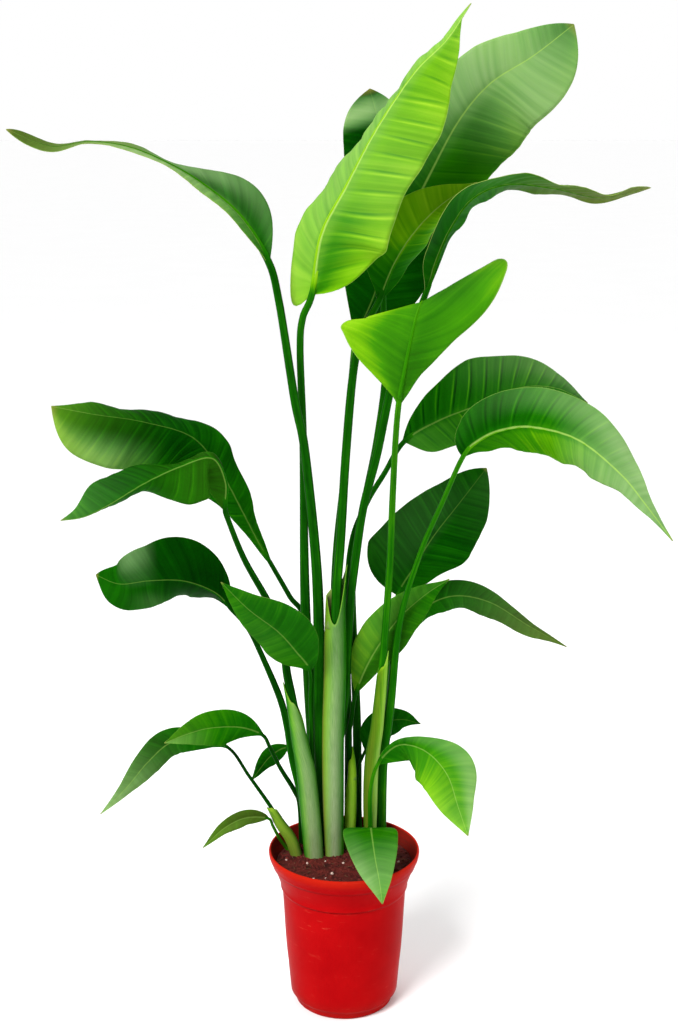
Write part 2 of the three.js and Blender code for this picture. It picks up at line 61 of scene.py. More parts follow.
def mix(a, b, share):
    return a + (b - a) * share


def ease(low, high, x):
    share = min(max((x - low) / (high - low), 0.0), 1.0)
    return share * share * (3 - 2 * share)


def along(values, share):  # value at a share of a list, joined by a smooth curve
    last = len(values) - 1
    if last == 0:
        return values[0]
    place = min(max(share, 0.0), 1.0) * last
    i = min(int(place), last - 1)
    w = place - i
    b, c = values[i], values[i + 1]
    a = values[i - 1] if i > 0 else 2 * values[0] - values[1]
    d = values[i + 2] if i < last - 1 else 2 * values[last] - values[last - 1]
    m, n = (c - a) / 2, (d - b) / 2
    return (2 * b - 2 * c + m + n) * w ** 3 + (3 * c - 3 * b - 2 * m - n) * w ** 2 + m * w + b


def depthOf(radius):  # a wide stalk or sheath is flatter than round
    roundUpTo = 6
    return radius if radius < roundUpTo else roundUpTo + (radius - roundUpTo) * 0.45


# Helpers for the shader trees

class Paint:
    def __init__(self, name, **sockets):
        self.material = bpy.data.materials.new(name)
        self.material.use_nodes = True
        self.tree = self.material.node_tree
        self.tree.nodes.clear()
        self.shader = self.tree.nodes.new("ShaderNodeBsdfPrincipled")
        finish = self.tree.nodes.new("ShaderNodeOutputMaterial")
        self.tree.links.new(self.shader.outputs[0], finish.inputs[0])
        for socket, value in sockets.items():
            self.shader.inputs[socket.replace("_", " ")].default_value = value

    def glow(self, gloss, depths, scale):  # tinted gloss, and a little light from within
        self.shader.inputs["Specular Tint"].default_value = gloss
        self.shader.inputs["Subsurface Weight"].default_value = 0.04
        self.shader.inputs["Subsurface Radius"].default_value = depths
        self.shader.inputs["Subsurface Scale"].default_value = scale

    def join(self, value, socket):
        if isinstance(value, bpy.types.NodeSocket):
            self.tree.links.new(value, socket)
        else:
            socket.default_value = value

    def put(self, kind, inputs=(), output=0, **settings):
        made = self.tree.nodes.new("ShaderNode" + kind)
        for key, value in settings.items():
            setattr(made, key, value)
        for key, value in dict(inputs).items():
            self.join(value, made.inputs[key])
        return made.outputs[output]

    def sum(self, operation, a, b=0.0, clamp=False):
        return self.put("Math", {0: a, 1: b}, operation=operation, use_clamp=clamp)

    def plus(self, a, b, clamp=False):
        return self.sum("ADD", a, b, clamp)

    def minus(self, a, b, clamp=False):
        return self.sum("SUBTRACT", a, b, clamp)

    def times(self, a, b, clamp=False):
        return self.sum("MULTIPLY", a, b, clamp)

    def blend(self, share, a, b, way="MIX"):
        made = self.tree.nodes.new("ShaderNodeMix")
        made.data_type = "RGBA"
        made.blend_type = way
        for key, value in ((0, share), (6, a), (7, b)):  # the colour sockets of the Mix node
            if isinstance(value, tuple):
                value = (*value, 1.0)
            self.join(value, made.inputs[key])
        return made.outputs[2]

    def scaled(self, value, low, high, toLow=0.0, toHigh=1.0, smooth=False):
        made = self.tree.nodes.new("ShaderNodeMapRange")
        made.interpolation_type = "SMOOTHSTEP" if smooth else "LINEAR"
        for key, number in enumerate((value, low, high, toLow, toHigh)):
            self.join(number, made.inputs[key])
        return made.outputs[0]

    def ramp(self, share, stops):
        made = self.tree.nodes.new("ShaderNodeValToRGB")
        band = made.color_ramp
        while len(band.elements) < len(stops):
            band.elements.new(0.5)
        for element, (place, colour) in zip(band.elements, stops):
            element.position = place
            element.color = (*colour, 1.0)
        self.join(share, made.inputs[0])
        return made.outputs[0]

    def noise(self, vector, scale, detail=3.0, rough=0.5):
        values = {"Vector": vector, "Scale": scale, "Detail": detail, "Roughness": rough}
        return self.put("TexNoise", values)

    def stretched(self, vector, *scale):
        return self.put("Mapping", {"Vector": vector, "Scale": scale})

    def place(self):  # Object coordinates
        return self.put("TexCoord", output=3)

    def attribute(self, name):  # the attribute as one number
        return self.put("Attribute", output=2, attribute_name=name)

    def split(self, vector):
        made = self.tree.nodes.new("ShaderNodeSeparateXYZ")
        self.join(vector, made.inputs[0])
        return made.outputs

    def pack(self, x, y, z=0.0):
        return self.put("CombineXYZ", {0: x, 1: y, 2: z})

    def bump(self, height, strength, distance, under=None):
        values = {"Height": height, "Strength": strength, "Distance": distance}
        if under is not None:
            values["Normal"] = under
        return self.put("Bump", values)

    def wear(self, colour=None, rough=None, normal=None):
        for socket, value in (("Base Color", colour), ("Roughness", rough), ("Normal", normal)):
            if value is not None:
                self.join(value, self.shader.inputs[socket])
        return self.material


def pieceFrom(mesh, name, materials, smooth=True):
    data = bpy.data.meshes.new(name)
    mesh.to_mesh(data)
    mesh.free()
    for material in materials:
        data.materials.append(material)
    data.polygons.foreach_set("use_smooth", [smooth] * len(data.polygons))
    piece = bpy.data.objects.new(name, data)
    bpy.context.scene.collection.objects.link(piece)
    return piece


def settle(piece):  # bakes the live modifiers into the mesh
    graph = bpy.context.evaluated_depsgraph_get()
    graph.update()
    ready = piece.evaluated_get(graph)
    data = bpy.data.meshes.new_from_object(ready, preserve_all_data_layers=True, depsgraph=graph)
    piece.modifiers.clear()
    piece.data = data
    return piece


# Camera: standing a little above the foliage's middle and looking down at the pot
view = {"place": (-0.0057, -1.668, 0.992), "down": 14.0, "lens": 56.25}
eye = bpy.data.cameras.new("eye")
eye.lens = view["lens"]
eye.sensor_width = 36
camera = bpy.data.objects.new("eye", eye)
camera.location = view["place"]
camera.rotation_euler = (math.radians(90 - view["down"]), 0, 0)
bpy.context.scene.collection.objects.link(camera)
bpy.context.scene.camera = camera
print("camera ready")


# Leaf finishes. Two maps lie on every leaf: leafSize in millimetres from the rib and along
# the leaf, and leafShare from -1 to 1 across and 0 to 1 along.
greens = [  # from the deepest leaf to lime
  (0.0, (0.0004, 0.014, 0.0004)),
  (0.2, (0.0014, 0.04, 0.0005)),
  (0.4, (0.006, 0.1, 0.0008)),
  (0.6, (0.03, 0.19, 0.0012)),
  (0.8, (0.13, 0.35, 0.002)),
  (1.0, (0.26, 0.5, 0.012)),
]
leafColours = {  # a pair runs from a deep green leaf to a lime one
  "olive": [(0.02, 0.024, 0.002), (0.27, 0.3, 0.05)],
  "bloom": [(0.05, 0.15, 0.045), (0.32, 0.47, 0.19)],
  "rib": [(0.07, 0.22, 0.02), (0.42, 0.62, 0.13)],
  "margin": [(0.03, 0.12, 0.01), (0.4, 0.55, 0.1)],
  "under": (0.08, 0.2, 0.012),
  "dryTip": (0.2, 0.19, 0.04),
  "dryMargin": (0.16, 0.14, 0.03),
  "gloss": (0.5, 1.0, 0.5, 1),
}
stalkColours = {
  "silver": [(0.16, 0.23, 0.1), (0.33, 0.4, 0.22)],
  "dry": (0.2, 0.12, 0.02),
  "stain": (0.12, 0.07, 0.02),
  "gloss": (0.45, 1.0, 0.4, 1),
}
veinSlope = 0.42  # how fast a side vein runs to the tip on its way out
veinStep = 4.5


def leafSkin(name, under):
    paint = Paint(name, Specular_IOR_Level=0.001 if under else 0.003)
    paint.glow(leafColours["gloss"], (0.3, 1.0, 0.08), 3 * mm)
    size = paint.split(paint.put("UVMap", uv_map="leafSize"))
    share = paint.split(paint.put("UVMap", uv_map="leafShare"))
    tone = paint.attribute("tone")
    bloom = paint.attribute("bloom")
    ribs = paint.attribute("ribs")
    crease = paint.attribute("crease")
    lines = paint.attribute("lines")
    dry = paint.attribute("dry")
    across = paint.sum("ABSOLUTE", size[0])
    # side veins leave the rib and bend towards the tip
    vein = paint.minus(size[1], paint.times(across, veinSlope))
    streaks = paint.noise(paint.pack(vein, paint.times(size[0], 0.03)), 0.13, 3.0, 0.5)
    fine = paint.noise(paint.pack(vein, paint.times(size[0], 0.02)), 0.75, 2.0, 0.5)
    wave = paint.sum("SINE", paint.times(vein, 2 * math.pi / veinStep))
    cloud = paint.noise(paint.place(), 11.0, 3.0, 0.5)
    shade = paint.plus(tone, paint.scaled(streaks, 0.3, 0.7, -0.07, 0.07))
    shade = paint.plus(shade, paint.scaled(cloud, 0.3, 0.7, -0.09, 0.09))
    shade = paint.plus(shade, paint.scaled(fine, 0.3, 0.7, -0.015, 0.015))
    # painted shade: a thin dark line in each fold between two ripples, and beside it a paler line of
    # painted highlight
    fold = paint.sum("FRACT", crease)
    after = paint.scaled(fold, 0.0, 0.09, 1, 0, True)
    foldShade = paint.sum("MINIMUM", after, paint.scaled(fold, 0.0, 0.01, 0, 1))
    foldShade = paint.sum("MAXIMUM", foldShade, paint.scaled(fold, 0.9, 1.0, 0, 0.8, True))
    light = paint.scaled(fold, 0.84, 0.92, 1, 0, True)
    light = paint.sum("MINIMUM", paint.scaled(fold, 0.72, 0.84, 0, 1, True), light)
    strength = paint.times(lines, paint.scaled(streaks, 0.3, 0.65, 0.35, 1.0))
    shade = paint.minus(shade, paint.times(foldShade, strength))
    glint = paint.times(paint.times(light, strength), 0.8)
    shade = paint.plus(shade, glint, clamp=True)
    colour = paint.ramp(shade, greens)
    # older leaves turn olive
    aged = paint.times(dry, paint.scaled(cloud, 0.3, 0.7, 0.7, 1.0))
    colour = paint.blend(aged, colour, paint.blend(tone, *leafColours["olive"]))
    # painted sheen: the green is greyed where light glances off the blade
    paintedSheen = paint.times(bloom, paint.scaled(streaks, 0.25, 0.75, 0.65, 1.1), clamp=True)
    colour = paint.blend(paintedSheen, colour, paint.blend(tone, *leafColours["bloom"]))
    if under:
        colour = paint.blend(0.14, colour, leafColours["under"])
    # pale rib, wide at the stalk and thin at the tip
    ribWide = paint.scaled(share[1], 0.0, 1.0, 2.4, 0.6)
    ribWide = paint.times(ribWide, paint.scaled(ribs, 0, 1, 0.55, 1.0))
    rib = paint.minus(1.0, paint.sum("DIVIDE", across, ribWide), clamp=True)
    rib = paint.scaled(rib, 0.0, 0.8, smooth=True)
    pale = paint.blend(tone, *leafColours["rib"])
    colour = paint.blend(paint.times(rib, paint.scaled(ribs, 0, 1, 0.2, 0.85)), colour, pale)
    # thin pale margin and a dry tip
    edge = paint.minus(1.0, paint.sum("ABSOLUTE", share[0]))
    margin = paint.scaled(edge, 0.0, 0.022, 1.0, 0.0, smooth=True)
    colour = paint.blend(paint.times(margin, paint.scaled(ribs, 0, 1, 0.15, 0.5)), colour, pale)
    tip = paint.scaled(share[1], 0.97, 1.0, smooth=True)
    colour = paint.blend(paint.times(tip, 0.6), colour, leafColours["dryTip"])
    rough = paint.plus(0.44 if under else 0.33, paint.times(cloud, 0.12))
    rough = paint.plus(rough, paint.times(bloom, 0.08))
    relief = paint.plus(paint.times(wave, 0.1), streaks)
    normal = paint.bump(relief, 0.35 if under else 0.22, 0.0008)
    return paint.wear(colour, rough, normal)


def stalkSkin():
    paint = Paint("stalkSkin", Specular_IOR_Level=0.02)
    paint.glow(stalkColours["gloss"], (0.5, 1.0, 0.12), 4 * mm)
    size = paint.split(paint.put("UVMap", uv_map="leafSize"))
    tone = paint.attribute("tone")
    bloom = paint.attribute("bloom")
    fibre = paint.pack(size[0], paint.times(size[1], 0.02))
    fibres = paint.noise(fibre, 0.9, 3.0, 0.6)
    hairline = paint.noise(fibre, 3.5, 2.0, 0.6)
    cloud = paint.noise(paint.place(), 22.0, 3.0, 0.55)
    shade = paint.plus(tone, paint.scaled(fibres, 0.3, 0.7, -0.09, 0.09))
    shade = paint.plus(shade, paint.scaled(cloud, 0.3, 0.7, -0.05, 0.05), clamp=True)
    colour = paint.ramp(shade, greens)
    dry = paint.times(paint.attribute("dry"), paint.scaled(fibres, 0.3, 0.6, 0.6, 1.0))
    colour = paint.blend(dry, colour, stalkColours["dry"])
    silver = paint.blend(paint.scaled(hairline, 0.3, 0.7), *stalkColours["silver"])
    colour = paint.blend(bloom, colour, silver)
    # old stains low on the stalk
    stain = paint.times(paint.scaled(fibres, 0.55, 0.75), paint.scaled(size[1], 10, 90, 1, 0))
    colour = paint.blend(paint.times(stain, 0.5), colour, stalkColours["stain"])
    rough = paint.plus(0.34, paint.times(fibres, 0.2))
    relief = paint.plus(fibres, paint.times(hairline, 0.4))
    return paint.wear(colour, rough, paint.bump(relief, 0.4, 0.0006))


def marginSkin():
    paint = Paint("marginSkin", Specular_IOR_Level=0.2)
    tone = paint.attribute("tone")
    grain = paint.noise(paint.place(), 180.0, 2.0)
    pale = paint.blend(tone, *leafColours["margin"])
    colour = paint.blend(paint.scaled(grain, 0.35, 0.65, 0.0, 0.25), pale, leafColours["dryMargin"])
    return paint.wear(colour, paint.scaled(grain, 0.3, 0.7, 0.4, 0.55))


upperSkin = leafSkin("leafUpper", False)
underSkin = leafSkin("leafUnder", True)
rimSkin = marginSkin()
stemSkin = stalkSkin()
print("leaf finishes ready")


# Leaves. Lengths are in millimetres: path runs from the foot to the tip, base is the point on
# it where the blade starts, stem the stalk's radius, sheath its wrapped foot up to the mouth.
# right and left are half widths, the turns lift each half to the front in degrees, cup bends
# it from rib to margin, wave is height and number of edge waves, ripple height and spacing.
# blunt and tip say how fast the widths open and close, lobe how far a half reaches back.
# The tones run from 0, deep green, to 1, lime: the leaf's own green, with painted shade and painted
# highlights in places.
# The bloom-and-sheen lists run from 0, clear, to 1, greyed by painted sheen; the sheen lists set the
# painted sheen towards the margins, and the sheath blooms give the sheaths' own silver.
# The lines set how strong the painted shade in the ripple folds and the painted highlight beside it are.
# A turn, bloom-and-sheen or dry list that isn't there is 0 all along.
leaves = [
  {
    "name": "leaf_lime_tall", "slot": "leaf_lime",
    "path": [(-26, 50, 154), (-36, 48, 304), (-42, 42, 417), (-44, 34, 513), (-44, 10, 653),
      (-46, -18, 752), (-43, -31, 788), (-33, -38, 814), (-23, -48, 873), (1, -55, 920), (31, -60, 976),
      (67, -60, 1029), (99, -55, 1061), (122, -50, 1095)],
    "base": 7, "stem": [6, 7, 6, 4.6, 4, 3.5],
    "right": [30, 62, 54, 58, 40, -14], "left": [30, 44, 44, 42, 34, 12],
    "rightTurn": [0, 5, 0], "leftTurn": [-40, -60, -72, -86, -82, -60],
    "wave": [1.7, 5], "ripple": [1.7, 22], "blunt": 40, "lobe": [0, 1.7],
    "toneRight": [0.56, 0.66, 0.79, 0.8, 0.76, 0.7], "bloomRight": [0, 0.05, 0.15, 0.1, 0.05, 0.2],
    "toneLeft": [0.84, 0.78, 0.74, 0.78, 0.84], "bloomLeft": [0.1, 0.32, 0.4, 0.32, 0.36],
    "edgeRight": [0.8, 0.86, 0.86, 0.83, 0.8, 0.76],
    "rib": 0.9, "lines": [0.05, 0.08, 0.1, 0.24, 0.3],
    "stalkTone": [0.38, 0.33, 0.28, 0.26, 0.38],
  },
  {
    "name": "leaf_broad_top", "slot": "leaf_green",
    "path": [(16, 63, 154), (15, 67, 304), (9, 67, 492), (22, 66, 568), (36, 64, 642), (45, 62, 720),
      (42, 57, 793), (42, 52, 838), (69, 48, 888), (89, 42, 929), (117, 30, 983), (148, 18, 1021),
      (190, 6, 1048), (229, 0, 1078)],
    "base": 7, "stem": [5, 5, 4.4, 4, 3.6, 3.2],
    "right": [12, 38, 58, 67, 57, 40], "left": [12, 44, 54, 44, 32, 16],
    "rightTurn": [0, -5, 0], "leftTurn": [-20, -12, 0],
    "wave": [2, 4], "ripple": [0.7, 15], "tip": 20,
    "toneRight": [0.42, 0.45, 0.48, 0.54, 0.6, 0.45], "bloomRight": [0, 0, 0, 0.35, 0.85, 0.4],
    "toneLeft": [0.38, 0.38, 0.42, 0.58, 0.64, 0.4], "bloomLeft": [0, 0, 0.25, 0.85, 0.8, 0.3],
    "edgeRight": [0.46, 0.5, 0.52, 0.68, 0.66, 0.55],
    "rib": 0.9, "lines": [0.1],
    "stalkTone": [0.26, 0.31, 0.36, 0.36],
  },
  {
    "name": "leaf_dark_back", "slot": "leaf_deep",
    "path": [(-11, 55, 154), (-12, 56, 304), (-10, 57, 489), (1, 64, 608), (9, 82, 712), (15, 100, 753),
      (35, 116, 801), (50, 126, 861), (50, 132, 920), (40, 140, 974), (28, 150, 1018)],
    "base": 5, "stem": [5, 5, 4.6, 4.4, 4.2, 3.8],
    "right": [28, 50, 54, 50, 34, 24], "left": [18, 40, 50, 48, 45, 46],
    "leftTurn": [0, -8, 0],
    "wave": [2, 4], "ripple": [0.6, 14], "tip": 16,
    # near the tip a band of painted highlight: a paler tone with painted sheen
    "toneRight": [0.18, 0.18, 0.18, 0.18, 0.18, 0.18, 0.18, 0.2, 0.2, 0.2, 0.2, 0.2, 0.5, 0.05],
    "bloomRight": [0, 0, 0, 0, 0, 0, 0, 0, 0, 0, 0, 0, 0.8, -0.2],
    "toneLeft": [0.2, 0.2, 0.2, 0.2, 0.2, 0.2, 0.2, 0.2, 0.2, 0.2, 0.2, 0.2, 0.62, 0.05],
    "bloomLeft": [0, 0, 0, 0, 0, 0, 0, 0, 0, 0, 0, 0, 1.0, -0.2],
    "rib": 0.12, "lines": [0.05],
    "stalkTone": [0.28, 0.28, 0.38, 0.58],
  },
  {
    "name": "leaf_half_hidden", "slot": "leaf_green",
    "path": [(-11, 16, 154), (-12, 16, 242), (-12, 16, 313), (-10, 18, 381), (-9, 21, 471), (-4, 25, 538),
      (2, 28, 637), (10, 28, 726), (21, 27, 769), (37, 25, 801), (52, 18, 839), (72, 10, 872),
      (100, 6, 901), (136, 4, 923)],
    "base": 9, "stem": [5.4, 4.9, 4.6, 3.4],
    "sheath": [10.5, 12, 12.4, 12.4, 10.8], "mouth": 0.5, "lip": [31, -36, -6, 4],
    "right": [6, 24, 32, 30, 18, 4], "left": [8, 30, 38, 34, 20, 5],
    "rightTurn": [-40, -55, -30], "leftTurn": [0, 10, 0],
    "wave": [2, 3], "ripple": [0.6, 16],
    "toneRight": [0.2, 0.38, 0.68, 0.78, 0.8],
    "toneLeft": [0.2, 0.38, 0.72, 0.82, 0.82, 0.8],
    "rib": 0.6, "lines": [0.12],
    "stalkTone": [0.4, 0.34, 0.3, 0.34],
    "sheathTone": [0.45, 0.7, 0.74, 0.58, 0.45, 0.42, 0.4], "sheathBloom": [0, 0.1, 0.5, 1.0, 0.5, 0, 0],
    "sheathDry": [0.9, 0.5, 0.1, 0, 0, 0, 0],
  },
  {
    "name": "leaf_twisted_right", "slot": "leaf_green",
    "path": [(-6, 37, 154), (-8, 37, 264), (-4, 37, 318), (1, 36, 360), (4, 34, 420), (7, 33, 467),
      (13, 30, 519), (21, 24, 576), (35, 14, 636), (50, 2, 714), (66, -4, 762), (85, -8, 814),
      (93, -14, 844), (107, -24, 879), (130, -20, 909), (166, -8, 922), (215, 14, 917), (270, 38, 906),
      (325, 62, 915)],
    "base": 11, "stem": [5.5, 6, 5.2, 4.6, 4.5, 3.2],
    "right": [10, 30, 40, 38, 34, 26], "left": [14, 34, 42, 38, 34, 26],
    "rightTurn": [-60, -70, -70, -76, -80, -72], "leftTurn": [40, 60, 75, 80, 78, 70],
    "wave": [2, 5], "ripple": [0.7, 14], "tip": 14, "cup": [10], "calm": 0.3,
    "toneRight": [0.34, 0.38, 0.42, 0.42, 0.42],
    "toneLeft": [0.34, 0.38, 0.42, 0.42, 0.42],
    "rib": 0.6, "lines": [0.06], "dry": [0, 0, 0, 0.35, 0.7, 0.8],
    "stalkTone": [0.38, 0.32, 0.28, 0.28, 0.33],
  },
  {
    "name": "leaf_funnel", "slot": "leaf_lime",
    "path": [(30, 33, 154), (31, 32, 264), (38, 32, 326), (45, 26, 423), (50, 10, 520), (51, -20, 594),
      (52, -66, 668), (54, -94, 712), (59, -100, 744), (66, -96, 777), (73, -80, 801), (79, -56, 808),
      (82, -40, 792), (81, -34, 761)],
    "base": 7, "stem": [4.2, 3.9, 3.4, 3],
    "sheath": [6, 8, 8.2, 7, 5.6], "mouth": 0.42, "lip": [10, -8, -22, 0],
    "right": [8, 18, 46, 100, 56, 8], "left": [6, 50, 80, 64, 40, 8],
    "rightTurn": [0, 5, 24, 32, 24, 5], "leftTurn": [0, -12, -26, -20, -10, 0],
    "wave": [2, 4], "ripple": [0.5, 16], "across": (1, 0, 0), "ribFront": True, "cup": [0],
    "toneRight": [0.36, 0.38, 0.42, 0.52, 0.75], "bloomRight": [0, 0, 0, 0.05, 0],
    "toneLeft": [0.42, 0.46, 0.6, 0.74, 0.86],
    "edgeRight": [0.4, 0.46, 0.54, 0.74, 0.9], "edgeLeft": [0.56, 0.8, 0.9, 0.92, 0.9],
    "rib": 0.5, "lines": [0.05],
    "stalkTone": [0.4, 0.38, 0.44, 0.54],
    "sheathTone": [0.36, 0.5, 0.6, 0.7, 0.9, 0.5], "sheathBloom": [0, 0, 0, 0.1, 0.5, 0],
    "sheathDry": [0, 0.35, 0.55, 0.3, 0, 0],
  },
  {
    "name": "leaf_right_rear", "slot": "leaf_green",
    "path": [(5, 57, 154), (5, 58, 304), (3, 57, 444), (8, 56, 524), (24, 54, 571), (44, 50, 607),
      (66, 52, 643), (104, 54, 666), (147, 60, 682), (193, 72, 699), (235, 88, 696), (273, 102, 677)],
    "base": 6, "stem": [4.5, 4.4, 4, 3.6, 3.2, 2.8],
    "right": [30, 32, 38, 36, 20, 5], "left": [8, 32, 50, 38, 19, 5],
    "wave": [2, 4], "ripple": [1.1, 17], "blunt": 20,
    "toneRight": [0.5, 0.46, 0.46], "bloomRight": [0.1, 0, 0],
    "toneLeft": [0.28, 0.32, 0.4, 0.42, 0.36], "bloomLeft": [0, 0, 0.05, 0.2, 0.25],
    "sheenLeft": [0, 0, 0.2, 0.5, 0.4],
    "rib": 0.3, "lines": [0.5, 0.42, 0.3, 0.15],
    "stalkTone": [0.25, 0.22, 0.22, 0.25],
  },
  {
    "name": "leaf_right_front", "slot": "leaf_green",
    "path": [(44, 44, 154), (44, 43, 264), (52, 39, 337), (62, 31, 442), (83, 10, 528), (104, -20, 592),
      (123, -46, 647), (139, -58, 667), (160, -72, 680), (189, -88, 686), (231, -112, 678),
      (270, -136, 649), (293, -150, 622), (319, -164, 588)],
    "base": 6, "stem": [5, 6, 5, 3.4, 2.8, 2.6],
    "right": [14, 32, 38, 30, 12, 3], "left": [24, 36, 40, 30, 12, 2],
    "rightTurn": [-30, -30, -35, -35, -20, 0], "leftTurn": [0, 5, 0],
    "wave": [2, 5], "ripple": [0.9, 15], "blunt": 20,
    "toneRight": [0.5, 0.6, 0.68, 0.66, 0.6, 0.54], "bloomRight": [0, 0, 0, 0.5, 0.85, 0.6],
    "toneLeft": [0.3, 0.34, 0.4, 0.5, 0.54, 0.5], "bloomLeft": [0, 0, 0, 0.5, 0.85, 0.6],
    "sheenLeft": [0, 0.1, 0.4, 0.85, 0.95, 0.6],
    "rib": 1.0, "lines": [0.3, 0.24, 0.1, 0.08, 0.12],
    "stalkTone": [0.38, 0.36, 0.4, 0.5],
  },
  {
    "name": "leaf_right_shade", "slot": "leaf_deep",
    "path": [(35, 57, 154), (37, 62, 264), (46, 66, 337), (52, 68, 409), (61, 68, 462), (80, 70, 496),
      (101, 74, 530), (130, 80, 567), (160, 88, 605)],
    "base": 4, "stem": [4, 3.8, 3.4, 3, 2.7, 2.6],
    "right": [10, 24, 44, 44, 32, 16], "left": [46, 58, 52, 42, 28, 18],
    "wave": [2, 3], "ripple": [0.5, 14], "blunt": 20, "tip": 14,
    "toneRight": [0.3, 0.24, 0.22, 0.28], "bloomRight": [0, 0, 0.1],
    "toneLeft": [0.24, 0.2, 0.2, 0.26], "bloomLeft": [0, 0.1, 0],
    "rib": 0.2, "lines": [0.12],
    "stalkTone": [0.32, 0.37, 0.42],
  },
  {
    "name": "leaf_olive_low", "slot": "leaf_green",
    "path": [(6, 30, 154), (8, 34, 234), (8, 38, 265), (5, 45, 294), (9, 47, 326), (14, 47, 354),
      (31, 45, 396), (58, 42, 439), (89, 40, 470), (117, 38, 490)],
    "base": 5, "stem": [3.4, 3, 2.6, 2.4],
    "sheath": [5.6, 6.6, 7, 6.4, 5.2], "mouth": 0.6, "lip": [14, 0, -18, -6],
    "right": [8, 15, 24, 24, 16, 4], "left": [9, 22, 27, 24, 16, 4],
    "wave": [1.5, 3], "ripple": [0.4, 13],
    "toneRight": [0.42],
    "toneLeft": [0.68, 0.68, 0.56, 0.44], "bloomLeft": [0.02, 0.08, 0.05],
    "rib": 0.3, "lines": [0.06], "dry": [0.12, 0.08, 0],
    "stalkTone": [0.2, 0.2, 0.2, 0.3],
    "sheathTone": [0.6, 0.85, 0.95, 0.95, 0.85, 0.6], "sheathBloom": [0, 0.05, 0.15, 0.2, 0.05, 0],
  },
  {
    "name": "leaf_arching_right", "slot": "leaf_green",
    "path": [(27, 61, 154), (27, 64, 264), (37, 72, 285), (48, 78, 344), (60, 82, 392), (87, 86, 436),
      (124, 94, 453), (169, 106, 442), (218, 124, 407), (265, 140, 376)],
    "base": 4, "stem": [3.6, 3.4, 3, 2.8, 2.6, 2.4],
    "right": [8, 16, 20, 20, 14, 4], "left": [8, 16, 18, 10, 5, 3],
    "rightTurn": [-30, -20, 0],
    "wave": [2, 4], "ripple": [0.6, 13],
    "toneRight": [0.3, 0.32, 0.36, 0.42, 0.4], "bloomRight": [0, 0, 0.1, 0.15, 0.1],
    "toneLeft": [0.26, 0.26, 0.28, 0.32, 0.35], "bloomLeft": [0, 0, 0.1, 0.15, 0],
    "rib": 0.3, "lines": [0.08], "dry": [0, 0, 0.1, 0.45, 0.75],
    "stalkTone": [0.25, 0.25, 0.3],
  },
  {
    "name": "leaf_left_shade", "slot": "leaf_deep",
    "path": [(-42, 37, 154), (-47, 39, 216), (-59, 40, 274), (-65, 41, 316), (-73, 42, 349),
      (-93, 42, 400), (-108, 42, 432), (-127, 44, 454), (-146, 48, 472), (-180, 54, 483), (-219, 62, 481),
      (-255, 76, 473), (-284, 92, 479)],
    "base": 7, "stem": [4, 4, 4.2, 4, 3.2, 2.6],
    "right": [7, 39, 50, 40, 26, 17], "left": [10, 36, 46, 46, 48, 30],
    "leftTurn": [-55, -55, -50, -40, -30, -20],
    "wave": [2, 3], "ripple": [0.5, 14], "tip": 14,
    "toneRight": [0.16, 0.16, 0.18, 0.24, 0.3], "bloomRight": [0, 0, 0, 0, 0.2, 0, 0],
    "toneLeft": [0.2, 0.2, 0.22, 0.3, 0.34],
    "sheenRight": [0, 0, 0, 0, 0.75, 0, 0], "sheenLeft": [0, 0, 0, 0, 0.2, 0, 0],
    "rib": 0.25, "lines": [0.03],
    "stalkTone": [0.33, 0.28, 0.18, 0.13],
  },
  {
    "name": "leaf_centre_small", "slot": "leaf_deep",
    "path": [(-37, 28, 154), (-38, 28, 254), (-37, 28, 309), (-38, 20, 354), (-38, 0, 396),
      (-52, -18, 424), (-71, -36, 453), (-101, -58, 485), (-128, -76, 520)],
    "base": 4, "stem": [3, 3, 2.8, 2.6, 2.2, 2],
    "right": [18, 29, 33, 28, 18, 6], "left": [14, 23, 25, 20, 13, 5],
    "wave": [1.5, 3], "ripple": [0.5, 13],
    "toneRight": [0.3, 0.32, 0.36, 0.4, 0.4], "bloomRight": [0.02],
    "toneLeft": [0.4, 0.44, 0.46, 0.48, 0.48], "bloomLeft": [0, 0.05, 0],
    "rib": 0.25, "lines": [0.06],
    "stalkTone": [0.3],
  },
  {
    "name": "leaf_upper_left", "slot": "leaf_green",
    "path": [(-26, 61, 154), (-34, 63, 304), (-43, 57, 430), (-61, 48, 467), (-82, 36, 510),
      (-95, 28, 537), (-111, 16, 574), (-131, 4, 617), (-160, -8, 659), (-210, -24, 679),
      (-260, -44, 691), (-299, -60, 702)],
    "base": 4, "stem": [4, 4, 3.8, 3.4, 3, 2.6],
    "right": [6, 14, 24, 34, 30, 8], "left": [6, 14, 44, 52, 55, 55],
    "rightTurn": [-50, -40, -40, -80, -80, -60], "leftTurn": [-20, -10, 0, 0],
    "wave": [2.5, 5], "ripple": [0.6, 15], "tip": 16,
    "toneRight": [0.46, 0.36, 0.26, 0.24, 0.28, 0.62],
    "toneLeft": [0.55, 0.36, 0.24, 0.22, 0.26, 0.7],
    "edgeLeft": [0.46, 0.36, 0.28, 0.32, 0.64, 0.85],
    "sheenLeft": [0, 0, 0, 0, 0.45, 0.15],
    "rib": 0.15, "lines": [0.22, 0.14, 0.05], "dry": [0, 0, 0, 0, 0.1, 0.3],
    "stalkTone": [0.21, 0.18, 0.16, 0.26],
  },
  {
    "name": "leaf_left_drooping", "slot": "leaf_deep",
    "path": [(-33, 10, 154), (-42, 12, 261), (-49, 12, 307), (-56, 12, 349), (-63, 11, 386),
      (-67, 10, 417), (-79, 4, 465), (-107, -10, 525), (-123, -22, 572), (-126, -28, 587),
      (-124, -40, 618), (-137, -50, 646), (-169, -64, 640), (-202, -80, 627), (-236, -98, 609),
      (-261, -112, 599), (-283, -124, 598)],
    "base": 9, "stem": [5, 4.2, 3.4, 2.8],
